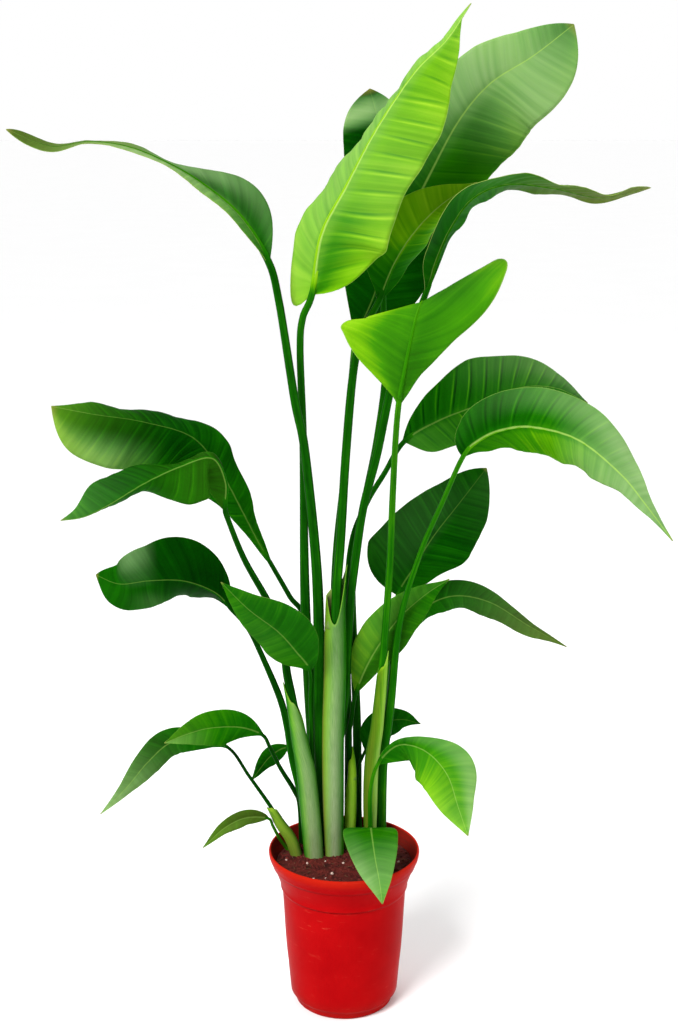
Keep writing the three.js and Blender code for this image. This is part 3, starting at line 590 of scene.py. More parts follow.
    "sheath": [10.6, 11.4, 11.2, 10.6, 9, 6.6], "mouth": 0.47, "lip": [-34, -8, 16, -6],
    "right": [4, 8, 10, 34, 34, 14], "left": [22, 36, 42, 32, 32, 18],
    "rightTurn": [-80, -78, -76, -60, -35, -20], "leftTurn": [0, 0, 0, -66, -86, -86],
    "wave": [2, 4], "ripple": [0.6, 14],
    "toneRight": [0.3, 0.24, 0.22, 0.3, 0.48], "bloomRight": [0, 0, 0, 0.1, 0.25],
    "toneLeft": [0.34, 0.32, 0.3, 0.36, 0.5], "bloomLeft": [0, 0, 0, 0.05, 0.2],
    "rib": 0.5, "lines": [0.12], "dry": [0.1, 0.1, 0, 0],
    "stalkTone": [0.2, 0.18, 0.18, 0.23],
    "sheathTone": [0.4, 0.46, 0.68, 0.66, 0.6, 0.58, 0.5],
    "sheathBloom": [0, 0.05, 0.35, 0.9, 0.7, 0.3, 0.05],
  },
  {
    "name": "leaf_low_left_dark", "slot": "leaf_deep",
    "path": [(-49, 45, 154), (-51, 47, 214), (-57, 44, 234), (-73, 36, 266), (-84, 26, 295),
      (-92, 14, 315), (-116, 4, 328), (-147, -8, 332), (-170, -16, 329), (-198, -20, 319)],
    "base": 5, "stem": [3.2, 3, 3, 2.6, 2.2, 2],
    "right": [5, 15, 20, 19, 12, 4], "left": [5, 14, 21, 20, 13, 4],
    "wave": [1.5, 2], "ripple": [0.4, 12],
    "toneRight": [0.34, 0.4, 0.5],
    "toneLeft": [0.34, 0.4, 0.6], "bloomLeft": [0, 0, 0.3],
    "rib": 0.2, "lines": [0.05], "dry": [0, 0, 0.25],
    "stalkTone": [0.15, 0.15, 0.2],
  },
  {
    "name": "leaf_low_left_long", "slot": "leaf_green",
    "path": [(-50.5, 15, 154), (-60, 13, 187), (-72, 11, 208), (-84, 14, 229), (-108, 22, 262),
      (-131, 33, 291), (-165, 47, 294), (-199, 58, 288), (-228, 66, 260), (-255, 72, 225),
      (-287, 76, 190)],
    "base": 5, "stem": [2.4, 2.1, 1.9, 1.8],
    "sheath": [5.5, 6.8, 6.8, 6, 4.6], "mouth": 0.46, "lip": [0, 6, 8, 0],
    "right": [4, 13, 17, 14, 8, 3], "left": [4, 15, 20, 16, 9, 3],
    "leftTurn": [-20, -20, 0],
    "wave": [1.5, 3], "ripple": [0.6, 12],
    "toneRight": [0.34, 0.34, 0.36, 0.46, 0.6], "bloomRight": [0, 0, 0.1, 0.5, 1.0],
    "toneLeft": [0.4, 0.42, 0.42, 0.5, 0.62], "bloomLeft": [0, 0, 0.15, 0.6, 1.0],
    "rib": 0.3, "lines": [0.05], "dry": [0, 0, 0.1, 0.2, 0.15],
    "stalkTone": [0.6, 0.3, 0.15, 0.1],
    "sheathTone": [0.5, 0.62, 0.72, 0.74, 0.66, 0.5], "sheathBloom": [0.05, 0.1, 0.15, 0.05],
    "sheathDry": [0.4, 0.6, 0.5, 0.3],
  },
  {
    "name": "leaf_lowest_left", "slot": "leaf_green",
    "path": [(-58, 33, 154), (-66, 30, 169), (-74, 22, 185), (-81, 12, 205), (-86, 2, 219),
      (-110, -16, 228), (-133, -32, 223), (-156, -44, 205)],
    "base": 4, "stem": [2.2, 2, 1.8, 1.6],
    "right": [5, 8, 9, 8, 5, 2], "left": [7, 9, 9, 8, 5, 2],
    "wave": [1, 2], "ripple": [0.3, 10],
    "toneRight": [0.3, 0.34, 0.38, 0.4],
    "toneLeft": [0.44, 0.5, 0.5, 0.46], "bloomLeft": [0, 0.05, 0],
    "rib": 0.3, "lines": [0.05], "dry": [0.5, 0.5, 0.4],
    "stalkTone": [0.6, 0.6, 0.45],
  },
  {
    "name": "leaf_low_left_small", "slot": "leaf_deep",
    "path": [(-38, 54, 154), (-45, 59, 209), (-52, 61, 250), (-63, 64, 278), (-85, 76, 264),
      (-109, 90, 227)],
    "base": 3, "stem": [2.6, 2.4, 2, 1.8],
    "right": [5, 9, 10, 8, 5, 2], "left": [5, 9, 10, 8, 5, 2],
    "wave": [1, 2], "ripple": [0.3, 10],
    "toneRight": [0.28, 0.28, 0.32],
    "toneLeft": [0.28, 0.28, 0.32],
    "rib": 0.15, "lines": [0.04],
    "stalkTone": [0.15, 0.15, 0.2],
  },
  {
    "name": "leaf_low_right_bright", "slot": "leaf_lime",
    "path": [(30, 20, 154), (30, 18, 204), (30, 12, 249), (38, 4, 284), (57, -10, 311), (76, -26, 318),
      (95, -44, 314), (112, -60, 297), (122, -78, 270), (132, -94, 243)],
    "base": 3, "stem": [3, 2.8, 2.4, 2],
    "right": [18, 25, 31, 31, 22, 8], "left": [4, 5, 14, 32, 21, 8],
    "wave": [2, 3], "ripple": [0.6, 14], "tip": 12,
    "toneRight": [0.36, 0.46, 0.6, 0.72, 0.78], "bloomRight": [0, 0.02, 0.05, 0.2],
    "toneLeft": [0.36, 0.46, 0.58, 0.68, 0.74], "bloomLeft": [0, 0, 0.05, 0.2],
    "edgeRight": [0.4, 0.5, 0.64, 0.78, 0.84],
    "sheenLeft": [0, 0.05, 0.3, 0.6, 0.5],
    "rib": 0.3, "lines": [0.06],
    "stalkTone": [0.4, 0.45, 0.55],
  },
  {
    "name": "leaf_low_right_dark", "slot": "leaf_deep",
    "path": [(19, 40, 154), (18, 44, 214), (15, 50, 251), (25, 52, 281), (43, 58, 309), (66, 66, 313),
      (89, 78, 303)],
    "base": 3, "stem": [3, 2.7, 2.2, 1.8],
    "right": [10, 17, 18, 16, 10, 3], "left": [10, 17, 18, 14, 9, 3],
    "wave": [1.5, 2], "ripple": [0.4, 12],
    "toneRight": [0.24, 0.2, 0.2],
    "toneLeft": [0.24, 0.2, 0.2],
    "rib": 0.1, "lines": [0.04],
    "stalkTone": [0.15],
  },
  {
    "name": "leaf_over_rim", "slot": "leaf_green",
    "path": [(30, 8, 154), (30, 7, 182), (30, -2, 209), (31, -36, 213), (34, -68, 202), (38, -90, 187),
      (41, -99, 166)],
    "base": 2, "stem": [3.4, 3.2, 2.8, 2.2],
    "right": [26, 30, 28, 24, 17, 8], "left": [26, 28, 26, 22, 15, 6],
    "wave": [1.5, 2], "ripple": [0.4, 13], "blunt": 30, "across": (-1, 0, 0),
    "cup": [0, -10, -20, -20, -10],
    "toneRight": [0.4, 0.44, 0.5, 0.6, 0.66], "bloomRight": [0, 0, 0.2, 0.5, 0.3],
    "toneLeft": [0.4, 0.44, 0.48, 0.56, 0.64], "bloomLeft": [0, 0, 0.2, 0.4, 0.2],
    "sheenRight": [0, 0.1, 0.4, 0.7, 0.4],
    "rib": 0.4, "lines": [0.06],
    "stalkTone": [0.3],
  },
  {
    "name": "leaf_far_left", "slot": "leaf_green",
    "path": [(-22, 37, 154), (-28, 36, 304), (-28, 36, 419), (-31, 26, 515), (-42, -6, 645),
      (-52, -20, 702), (-67, -36, 807), (-78, -40, 849), (-105, -44, 892), (-139, -52, 922),
      (-170, -62, 942), (-208, -74, 959), (-246, -86, 965), (-282, -98, 961), (-321, -110, 977)],
    "base": 7, "stem": [6, 6.5, 6.2, 5.2, 4.5, 3.8],
    "right": [24, 54, 36, 30, 22, 24], "left": [8, 15, 15, 19, 18, 22],
    "rightTurn": [-25, -56, -87, -87, -85, -70], "leftTurn": [60, 66, 74, 84, 86, 80, 64],
    "wave": [1, 4], "ripple": [0.6, 14], "tip": 14, "cup": [8], "calm": 0.3,
    "toneRight": [0.34, 0.34, 0.36, 0.44, 0.36, 0.3], "bloomRight": [0, 0.1, 0.2, 0.2, 0.1, 0],
    "toneLeft": [0.4, 0.6, 0.66, 0.6, 0.44, 0.3], "bloomLeft": [0, 0.4, 0.7, 0.8, 0.2, 0],
    "sheenRight": [0.1, 0.5, 0.8, 0.3, 0.1, 0],
    "rib": 0.4, "lines": [0.14], "dry": [0, 0, 0.1, 0.6, 0.6, 0.6],
    "stalkTone": [0.36, 0.32, 0.28, 0.26, 0.28],
  },
]


class Course:  # the smooth line from foot to tip, measured in millimetres from the foot
    def __init__(self, leaf):
        points = [Vector(p) for p in leaf["path"]]
        ends = [2 * points[0] - points[1], *points, 2 * points[-1] - points[-2]]
        spans = 40
        self.places = []
        for k in range(len(points) - 1):
            a, b, c, d = ends[k:k + 4]
            m, n = (c - a) / 2, (d - b) / 2
            for j in range(spans):
                w = j / spans
                bend = (2 * b - 2 * c + m + n) * w ** 3 + (3 * c - 3 * b - 2 * m - n) * w ** 2
                self.places.append(bend + m * w + b)
        self.places.append(points[-1])
        self.lengths = [0.0]
        for a, b in zip(self.places, self.places[1:]):
            self.lengths.append(self.lengths[-1] + (b - a).length)
        self.total = self.lengths[-1]
        self.stalk = self.lengths[spans * leaf["base"]]
        self.blade = self.total - self.stalk
        self.across = leaf.get("across")

    def at(self, length):
        low, high = 0, len(self.lengths) - 1
        while high - low > 1:
            middle = (low + high) // 2
            if self.lengths[middle] <= length:
                low = middle
            else:
                high = middle
        span = self.lengths[high] - self.lengths[low]
        return self.places[low].lerp(self.places[high], (length - self.lengths[low]) / span)

    def frame(self, length):
        step = 2.0
        near = min(max(length, step), self.total - step)
        here = self.at(min(max(length, 0.0), self.total))
        run = (self.at(near + step) - self.at(near - step)).normalized()
        if self.across:
            side = Vector(self.across)
            side = (side - run * run.dot(side)).normalized()
            return here, run, side.cross(run), side
        front = Vector((0, -1, 0))
        front = (front - run * run.dot(front)).normalized()
        return here, run, front, run.cross(front)


def halfWidth(leaf, side, share):
    body = max(along(leaf[side], share), 0.0)
    return body * (1 - share ** leaf.get("tip", 8)) * (1 - (1 - share) ** leaf.get("blunt", 10))


def turnOf(leaf, side, share):
    return math.radians(along(leaf.get(side + "Turn", [0]), share))


def halfLooks(leaf, side, share, q):  # tone and bloom with painted sheen, blended from the rib out to the margin
    word = side.capitalize()
    tone = along(leaf["tone" + word], share)
    if "edge" + word in leaf:
        tone = mix(tone, along(leaf["edge" + word], share), ease(0.25, 0.85, q))
    bloom = along(leaf.get("bloom" + word, [0]), share)
    # painted sheen, growing towards the margin
    if "sheen" + word in leaf:
        bloom = mix(bloom, along(leaf["sheen" + word], share), ease(0.2, 0.8, q))
    return tone + 0.05 * q ** 3, bloom


bladeLooks = {
  "thick": 0.55,
  "rowStep": 2.8,
  "columns": 18,
  "crowd": 1.45,
  "cup": [30, -20, -34, -30, -12],
  "ragged": 0.02,
  "dents": 1.6,
  "edgeDents": 1.0,
  "lobeEnd": 0.15,
  "leftWave": 0.37,
  "leftFold": 0.4,
}


def bladeSheet(leaf, course, seed):
    looks = bladeLooks
    rows = max(int(course.blade / looks["rowStep"]), 24)
    mesh = bmesh.new()
    toneLayer = mesh.verts.layers.float.new("tone")
    bloomAndSheenLayer = mesh.verts.layers.float.new("bloom")
    ribLayer = mesh.verts.layers.float.new("ribs")
    creaseLayer = mesh.verts.layers.float.new("crease")
    lineLayer = mesh.verts.layers.float.new("lines")
    dryLayer = mesh.verts.layers.float.new("dry")
    sizeMap = mesh.loops.layers.uv.new("leafSize")
    shareMap = mesh.loops.layers.uv.new("leafShare")
    bmesh.ops.create_grid(mesh, x_segments=2 * looks["columns"], y_segments=rows, size=1)
    height, count = leaf["wave"]
    rippleHigh, rippleStep = leaf["ripple"]
    cups = leaf.get("cup", looks["cup"])
    stalkRadius = leaf["stem"][-1]
    calm = leaf.get("calm", 1)
    maps = {}
    for vert in mesh.verts:
        share = (vert.co.y + 1) / 2
        q = abs(vert.co.x) ** looks["crowd"]
        sign = 1 if vert.co.x >= 0 else -1
        side = "right" if sign > 0 else "left"
        here, run, front, out = course.frame(course.stalk + course.blade * share)
        length = course.blade * share
        root = mix(stalkRadius, 0.5, min(share * 1.6, 1))
        ragged = noise.noise(Vector((length * 0.045, seed * 3.1, sign * 2.0)))
        wide = halfWidth(leaf, side, share) * (1 + looks["ragged"] * ragged * calm) + root
        turn = turnOf(leaf, side, share)
        cup = math.radians(along(cups, share))
        start = turn - cup / 2
        if abs(cup) < 0.01:
            reach = Vector((q * math.cos(turn), q * math.sin(turn)))
        else:
            reach = Vector((math.sin(start + cup * q) - math.sin(start),
                            math.cos(start) - math.cos(start + cup * q))) / cup
        angle = start + cup * q
        face = front * math.cos(angle) - out * (sign * math.sin(angle))
        phase = 0 if sign > 0 else looks["leftWave"]
        swell = math.sqrt(max(math.sin(math.pi * share), 0))
        lift = height * q * q * swell * math.sin(2 * math.pi * (count * share + phase))
        # ripples between the side veins, and small irregular dents
        veinAt = length - veinSlope * q * wide
        drift = 0.5 * noise.noise(Vector((length * 0.012, seed * 1.7, sign * 5.0)))
        folds = veinAt / rippleStep + drift + (0 if sign > 0 else looks["leftFold"])
        crest = abs(math.sin(math.pi * folds)) * 1.8 - 1.1  # round ridges, narrow valleys
        shape = math.sin(math.pi * min(q * 0.94 + 0.03, 1)) ** 0.6 * swell  # calm at rib and margin
        lift += rippleHigh * shape * crest * (0.7 + 0.4 * noise.noise(Vector((length * 0.03, seed, q))))
        dent = q * noise.noise(Vector((length * 0.02, q * 1.5 * sign, seed * 2.3)))
        edgeDent = q ** 5 * noise.noise(Vector((length * 0.09, sign, seed)))
        lift += calm * swell * (looks["dents"] * dent + looks["edgeDents"] * edgeDent)
        place = here + out * (sign * wide * reach.x) + front * (wide * reach.y) + face * lift
        lobe = leaf.get("lobe", (0, 0))[0 if sign > 0 else 1]
        place -= run * (lobe * wide * q * q * max(1 - share / looks["lobeEnd"], 0) ** 2)
        own = 0.5 + 0.5 * ease(0.0, 0.22, q)  # the looks of both halves meet at the rib
        tone, bloom = halfLooks(leaf, side, share, q)
        otherTone, otherSheen = halfLooks(leaf, "left" if sign > 0 else "right", share, q)
        vert[creaseLayer] = folds + 40  # never below 0
        vert[lineLayer] = along(leaf["lines"], (sign * q + 1) / 2) * shape
        vert[ribLayer] = leaf["rib"]
        vert[dryLayer] = min(max(along(leaf.get("dry", [0]), share), 0), 1)
        vert[toneLayer] = min(max(mix(otherTone, tone, own), 0.02), 1.0)
        vert[bloomAndSheenLayer] = min(max(mix(otherSheen, bloom, own), 0.0), 1.0)
        maps[vert] = ((sign * q * wide, length), (sign * q, share))
        vert.co = place * mm
    for face in mesh.faces:
        for loop in face.loops:
            size, part = maps[loop.vert]
            loop[sizeMap].uv = size
            loop[shareMap].uv = part
    skins = [upperSkin, underSkin, rimSkin, stemSkin]
    if leaf.get("ribFront"):
        skins[0], skins[1] = skins[1], skins[0]
    sheet = pieceFrom(mesh, "sheet", skins)
    wall = sheet.modifiers.new("wall", "SOLIDIFY")
    wall.thickness = looks["thick"] * mm
    wall.offset = 0
    wall.material_offset = 1
    wall.material_offset_rim = 2
    return settle(sheet), skins


stalkLooks = {
  "corners": 28, "sheathCorners": 44, "step": 5.0, "ribStep": 6,
  "groove": 0.2, "grooveWide": 30,
  "wall": 0.9, "inside": 6, "flare": 0.05,
  "paleLip": 5, "paleFoot": 40,
}


def stalkRings(leaf, course):
    # a ring has its length, half width, half depth, kind, and how far it follows the lip or blade
    rings = []
    stem = leaf["stem"]
    mouth = leaf.get("mouth", 0) * course.stalk
    step = stalkLooks["step"]
    if mouth:
        low = min(leaf["lip"])
        count = int(mouth / step)
        for i in range(count + 1):
            radius = along(leaf["sheath"], i / count)
            rings.append((mouth * i / count, radius, depthOf(radius), "sheath", i / count))
        radius = along(leaf["sheath"], 1) - stalkLooks["wall"]
        depth = depthOf(radius + stalkLooks["wall"]) - stalkLooks["wall"]
        for i in range(5):
            rings.append((mouth, radius, depth, "inside", 1 - i / 4))
        rings.append((mouth + low - stalkLooks["inside"], stem[0], stem[0], "stem", 0))
    count = int((course.stalk - mouth) / step)
    for i in range(count + 1):
        radius = along(stem, i / count)
        length = mix(mouth, course.stalk, i / count)
        if mouth and i == 0:
            continue
        rings.append((length, radius, depthOf(radius), "stem", 0))
    count = int(course.blade / stalkLooks["ribStep"])
    for i in range(1, count + 1):
        share = i / count
        radius = mix(stem[-1] * 0.9, 0.45, share ** 0.8)
        rings.append((course.stalk + course.blade * share * 0.995, radius, radius, "rib", share))
    return rings


def stalkTube(leaf, course, seed):
    looks = stalkLooks
    rings = stalkRings(leaf, course)
    corners = looks["sheathCorners" if "mouth" in leaf else "corners"]
    mesh = bmesh.new()
    toneLayer = mesh.verts.layers.float.new("tone")
    bloomAndSheenLayer = mesh.verts.layers.float.new("bloom")
    dryLayer = mesh.verts.layers.float.new("dry")
    sizeMap = mesh.loops.layers.uv.new("leafSize")
    shareMap = mesh.loops.layers.uv.new("leafShare")
    bmesh.ops.create_grid(mesh, x_segments=corners, y_segments=len(rings) - 1, size=1)
    mouth = leaf.get("mouth", 0) * course.stalk
    maps = {}
    for vert in mesh.verts:
        row = round((vert.co.y + 1) / 2 * (len(rings) - 1))
        column = round((vert.co.x + 1) / 2 * corners)
        length, wide, deep, kind, share = rings[row]
        angle = math.radians(-90) + 2 * math.pi * column / corners
        x, y = math.cos(angle), math.sin(angle)
        here, run, front, out = course.frame(length)
        turned = math.degrees(angle) % 360
        fromFront = abs((turned - 90 + 180) % 360 - 180)
        slide = 0.0
        tone = along(leaf["stalkTone"], min(length / course.stalk, 1))
        bloom = dry = 0.0
        if kind in ("sheath", "inside"):
            right, ahead, left, back = leaf["lip"]
            lip = x * x * (right if x > 0 else left) + y * y * (ahead if y > 0 else back)
            low = min(leaf["lip"])
            if kind == "sheath":
                slide = lip * ease(0.0, 1.0, share) * share
                flare = 1 + looks["flare"] * math.sin(angle * 3 + seed) * share
                wide, deep = wide * flare, deep * flare
            else:
                slide = mix(low - looks["inside"], lip, share)
            acrossFront = min(max(1 - turned / 180, 0), 1) if turned < 270 else 1
            tone = along(leaf["sheathTone"], acrossFront)
            bloom = along(leaf["sheathBloom"], acrossFront) * (1 - 0.65 * share)
            dry = along(leaf.get("sheathDry", [0]), acrossFront) * (1 - 0.5 * share)
            lipNear = max(0.0, 1 - (mouth + lip - length - slide) / looks["paleLip"])
            tone = mix(tone, 0.95, min(lipNear, 1) * 0.7)
            if kind == "inside":
                tone = mix(tone, 0.7, 0.6)
                bloom = 0.3
            if length + slide < looks["paleFoot"]:
                tone = mix(tone, 0.8, 0.3)
        elif kind == "stem" and share == 0:
            dent = looks["groove"] * math.exp(-(fromFront / looks["grooveWide"]) ** 2)
            wide, deep = wide * (1 - dent), deep * (1 - dent)
            # painted highlight: a paler line along the channel's edge beside the groove
            tone += 0.1 * math.exp(-((fromFront - 38) / 9) ** 2)
        if kind == "rib":
            flat = mix(1.0, 0.1, ease(0.0, 0.06, share))
            dent = looks["groove"] * (1 - ease(0, 0.06, share))
            y = y * flat if y > 0 else y
            deep *= 1 - dent * math.exp(-(fromFront / looks["grooveWide"]) ** 2)
            shift = -0.2 * ease(0.0, 0.06, share)
            flip = -1 if leaf.get("ribFront") else 1
            middle = middleFace(leaf, front, out, share)
            here = here + middle * shift * flip
            place = here + out * (wide * x) + middle * (deep * y * flip)
            glow = leafTone(leaf, share) + 0.22 * leaf["rib"]
            tone = mix(tone, min(glow, 0.95), ease(-0.02, 0.06, share))
        else:
            place = here + out * (wide * x) + front * (deep * y) + run * slide
        vert[toneLayer] = min(max(tone, 0.02), 1.0)
        vert[bloomAndSheenLayer] = min(max(bloom, 0.0), 1.0)
        vert[dryLayer] = min(max(dry, 0.0), 1.0)
        around = 2 * math.pi * column / corners * max(wide, 3)
        maps[vert] = ((around, length + slide), (column / corners, length / course.total))
        vert.co = place * mm
    for face in mesh.faces:
        for loop in face.loops:
            size, part = maps[loop.vert]
            loop[sizeMap].uv = size
            loop[shareMap].uv = part
    bmesh.ops.remove_doubles(mesh, verts=mesh.verts[:], dist=1e-6)
    ends = [edge for edge in mesh.edges if edge.is_boundary]
    bmesh.ops.holes_fill(mesh, edges=ends, sides=0)
    bmesh.ops.recalc_face_normals(mesh, faces=mesh.faces[:])
    if mesh.calc_volume(signed=True) < 0:  # a long bent tube can come out inside out
        bmesh.ops.reverse_faces(mesh, faces=mesh.faces[:])
    for face in mesh.faces:
        face.material_index = 3
    return mesh


def middleFace(leaf, front, out, share):
    right, left = turnOf(leaf, "right", share), turnOf(leaf, "left", share)
    faces = front * math.cos(right) - out * math.sin(right)
    faces += front * math.cos(left) + out * math.sin(left)
    return faces.normalized()


def leafTone(leaf, share):
    return (along(leaf["toneRight"], share) + along(leaf["toneLeft"], share)) / 2


def growLeaf(leaf, seed):
    course = Course(leaf)
    sheet, skins = bladeSheet(leaf, course, seed)
    whole = stalkTube(leaf, course, seed)
    whole.from_mesh(sheet.data)
    old = sheet.data
    bpy.data.objects.remove(sheet)
    bpy.data.meshes.remove(old)
    words = leaf["name"].split("_")
    name = "grown" + "".join(word.capitalize() for word in words)
    piece = pieceFrom(whole, name, skins)
    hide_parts(leaf["name"])
    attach(piece, "root")


for number, leaf in enumerate(leaves):
    growLeaf(leaf, number + 1)
print("leaves ready")


# Pot: turned from one profile, with drain holes cut in its floor
potLooks = {
  "steps": 128,
  "holes": 8, "holeRadius": 5, "holeCircle": 38, "holeCorners": 32,
  "red": [(0.3, 0.0012, 0.0025), (0.38, 0.0025, 0.0035)], "paintedLipHighlight": (0.5, 0.022, 0.006),
  "dirt": (0.12, 0.001, 0.001), "footDarkRed": (0.2, 0.02, 0.012), "scuff": (0.75, 0.14, 0.08),
  "dust": (0.09, 0.013, 0.008), "gloss": (1.0, 0.4, 0.25, 1), "seams": [0.1392, 0.1652],
  "outside": [(0, 0), (50, 0), (54.2, 0.2), (55.3, 1), (55.8, 3), (56.2, 6.2), (57.2, 7.6), (60.2, 10.8),
    (61.1, 12.4), (61.9, 21), (63.9, 45), (66, 66), (67.5, 90), (68.8, 116), (69.7, 131), (69.9, 136.5),
    (70.1, 138.6), (71.6, 139.7), (72.2, 141.2), (72.1, 143), (72.2, 145), (73.8, 150.6), (76.2, 157.6),
    (78.7, 163.6), (79.6, 165.8), (80.9, 167), (81.5, 169), (82.6, 172.2), (83.9, 174.6), (84.7, 177.2),
    (85.2, 180.4), (85.2, 182.6), (84.8, 183.8), (84.1, 184.4)],
  "inside": [(83.4, 184.3), (82.8, 183.4), (82.3, 181.5), (81.2, 175), (78.2, 168), (73.7, 156),
    (70.2, 142), (68.2, 133), (66.9, 116), (64.1, 66), (59.9, 20), (58.6, 13), (54.4, 6.5), (53, 2.6),
    (0, 2.6)],
}


def potSkin(name, inside):
    paint = Paint(name, Specular_IOR_Level=0.01 if inside else 0.015)
    paint.shader.inputs["Specular Tint"].default_value = potLooks["gloss"]
    place = paint.place()
    parts = paint.split(place)
    cloud = paint.noise(place, 16.0, 4.0, 0.6)
    grain = paint.noise(place, 900.0, 2.0, 0.6)
    upright = paint.stretched(place, 60.0, 60.0, 6.0)
    rubs = paint.noise(upright, 1.0, 5.0, 0.7)
    level = paint.stretched(place, 40.0, 40.0, 260.0)
    scratch = paint.noise(level, 1.0, 4.0, 0.65)
    colour = paint.blend(paint.scaled(cloud, 0.3, 0.7), *potLooks["red"])
    # painted highlight: the top of the lip turns orange-red
    high = paint.scaled(parts[2], 0.17, 0.185, smooth=True)
    colour = paint.blend(paint.times(high, 0.5), colour, potLooks["paintedLipHighlight"])
    for height in potLooks["seams"]:  # painted shade in the two steps under the lip
        off = paint.sum("ABSOLUTE", paint.minus(parts[2], height))
        seam = paint.scaled(off, 0.0004, 0.0016, 0.75, 0.0, smooth=True)
        seam = paint.times(seam, paint.scaled(cloud, 0.3, 0.6))
        colour = paint.blend(seam, colour, potLooks["dirt"])
    # darker and browner towards the foot
    low = paint.scaled(parts[2], 0.0, 0.03, 0.35, 0.0, smooth=True)
    colour = paint.blend(paint.times(low, cloud), colour, potLooks["footDarkRed"])
    worn = paint.times(paint.scaled(scratch, 0.62, 0.7), paint.scaled(cloud, 0.45, 0.65))
    colour = paint.blend(paint.times(worn, 0.22), colour, potLooks["scuff"])
    if inside:  # painted shade inside the pot, with dust of the soil clinging to the wall
        dust = paint.scaled(parts[2], 0.165, 0.185, 0.97, 0.75)
        dust = paint.times(dust, paint.scaled(scratch, 0.3, 0.7, 0.7, 1.0))
        colour = paint.blend(dust, colour, potLooks["dust"])
    rough = paint.plus(paint.scaled(rubs, 0.3, 0.7, 0.3, 0.46), paint.times(worn, 0.2))
    relief = paint.bump(grain, 0.12, 0.0003)
    normal = paint.bump(paint.plus(rubs, worn), 0.12, 0.0008, relief)
    return paint.wear(colour, rough, normal)


def turn(profile, steps):
    mesh = bmesh.new()
    ring = [mesh.verts.new((r * mm, 0, z * mm)) for r, z in profile]
    edges = [mesh.edges.new(pair) for pair in zip(ring, ring[1:])]
    bmesh.ops.spin(mesh, geom=ring + edges, axis=(0, 0, 1), cent=(0, 0, 0),
                   angle=2 * math.pi, steps=steps, use_merge=True)
    bmesh.ops.remove_doubles(mesh, verts=mesh.verts[:], dist=1e-6)
    bmesh.ops.recalc_face_normals(mesh, faces=mesh.faces[:])
    return mesh


potMesh = turn(potLooks["outside"] + potLooks["inside"], potLooks["steps"])
for face in potMesh.faces:
    middle = face.calc_center_median()
    inward = middle.x * face.normal.x + middle.y * face.normal.y < 0
    face.material_index = 1 if inward and middle.z < 0.183 else 0
potSkins = [potSkin("potPlastic", False), potSkin("potInside", True)]
pot = pieceFrom(potMesh, "turnedPot", potSkins)
drills = bmesh.new()
for k in range(potLooks["holes"]):
    around = 2 * math.pi * (k + 0.5) / potLooks["holes"]
    spot = Vector((math.cos(around), math.sin(around), 0)) * potLooks["holeCircle"] * mm
    radius = potLooks["holeRadius"] * mm
    bmesh.ops.create_cone(drills, cap_ends=True, segments=potLooks["holeCorners"], radius1=radius,
                          radius2=radius, depth=12 * mm, matrix=Matrix.Translation(spot))
drill = pieceFrom(drills, "drill", [], smooth=False)
cut = pot.modifiers.new("cut", "BOOLEAN")
cut.operation = "DIFFERENCE"
cut.solver = "EXACT"
cut.object = drill
settle(pot)
bpy.data.objects.remove(drill)
# the cut leaves points in line along the floor's edges, which a plain split turns into slivers
drilled = bmesh.new()
drilled.from_mesh(pot.data)
low = [face for face in drilled.faces if face.calc_center_median().z < 3 * mm]
bmesh.ops.triangulate(drilled, faces=low, quad_method="BEAUTY", ngon_method="BEAUTY")
bmesh.ops.dissolve_degenerate(drilled, dist=1e-6, edges=drilled.edges[:])
drilled.to_mesh(pot.data)
drilled.free()
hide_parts("pot")
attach(pot, "root")
print("pot ready")


# Soil: a lumpy bed with crumbs of peat, fibres and pale grains on it
soilLooks = {
  "steps": 160, "top": 167.5,
  "side": [(0, 2.95), (52.4, 2.95), (53.9, 6.5), (58.1, 13), (59.4, 20), (63.6, 66), (66.4, 116),
    (67.7, 133), (69.7, 142), (73.2, 156), (77.0, 166)],
  "crumbs": 520, "grains": 17, "fibres": 90, "seed": 11, "spread": 75,
  "peat": [(0.024, 0.002, 0.002), (0.13, 0.014, 0.01)],
  "crumb": [(0.034, 0.003, 0.002), (0.16, 0.02, 0.014)],
  "fibre": [(0.06, 0.028, 0.014), (0.2, 0.11, 0.05)],
  "grain": [(0.55, 0.36, 0.3), (0.75, 0.6, 0.52)],
  "speck": (0.26, 0.12, 0.06),
}


def soilHeight(x, y):  # millimetres
    spread = math.hypot(x, y)
    dome = mix(2.4, 0, min(spread / 77, 1) ** 1.5)
    lumps = 1.6 * noise.noise(Vector((x * 0.05, y * 0.05, 1.0)))
    lumps += 1.1 * noise.noise(Vector((x * 0.16, y * 0.16, 4.0)))
    lumps += 0.6 * noise.noise(Vector((x * 0.45, y * 0.45, 7.0)))
    return soilLooks["top"] + dome - 0.6 + lumps * (1 if spread < 74 else 0.4)


def soilSkin(part, scale, roughness):
    paint = Paint(part + "Skin", Specular_IOR_Level=0.2)
    place = paint.place()
    coarse = paint.noise(place, scale, 5.0, 0.65)
    fine = paint.noise(place, scale * 6, 4.0, 0.7)
    colour = paint.blend(paint.scaled(coarse, 0.32, 0.68), *soilLooks[part])
    colour = paint.blend(paint.scaled(fine, 0.62, 0.72, 0.0, 0.35), colour, soilLooks["speck"])
    rough = paint.scaled(fine, 0.3, 0.7, roughness - 0.2, roughness)
    relief = paint.bump(fine, 0.8, 0.0008)
    return paint.wear(colour, rough, paint.bump(coarse, 0.7, 0.002, relief))


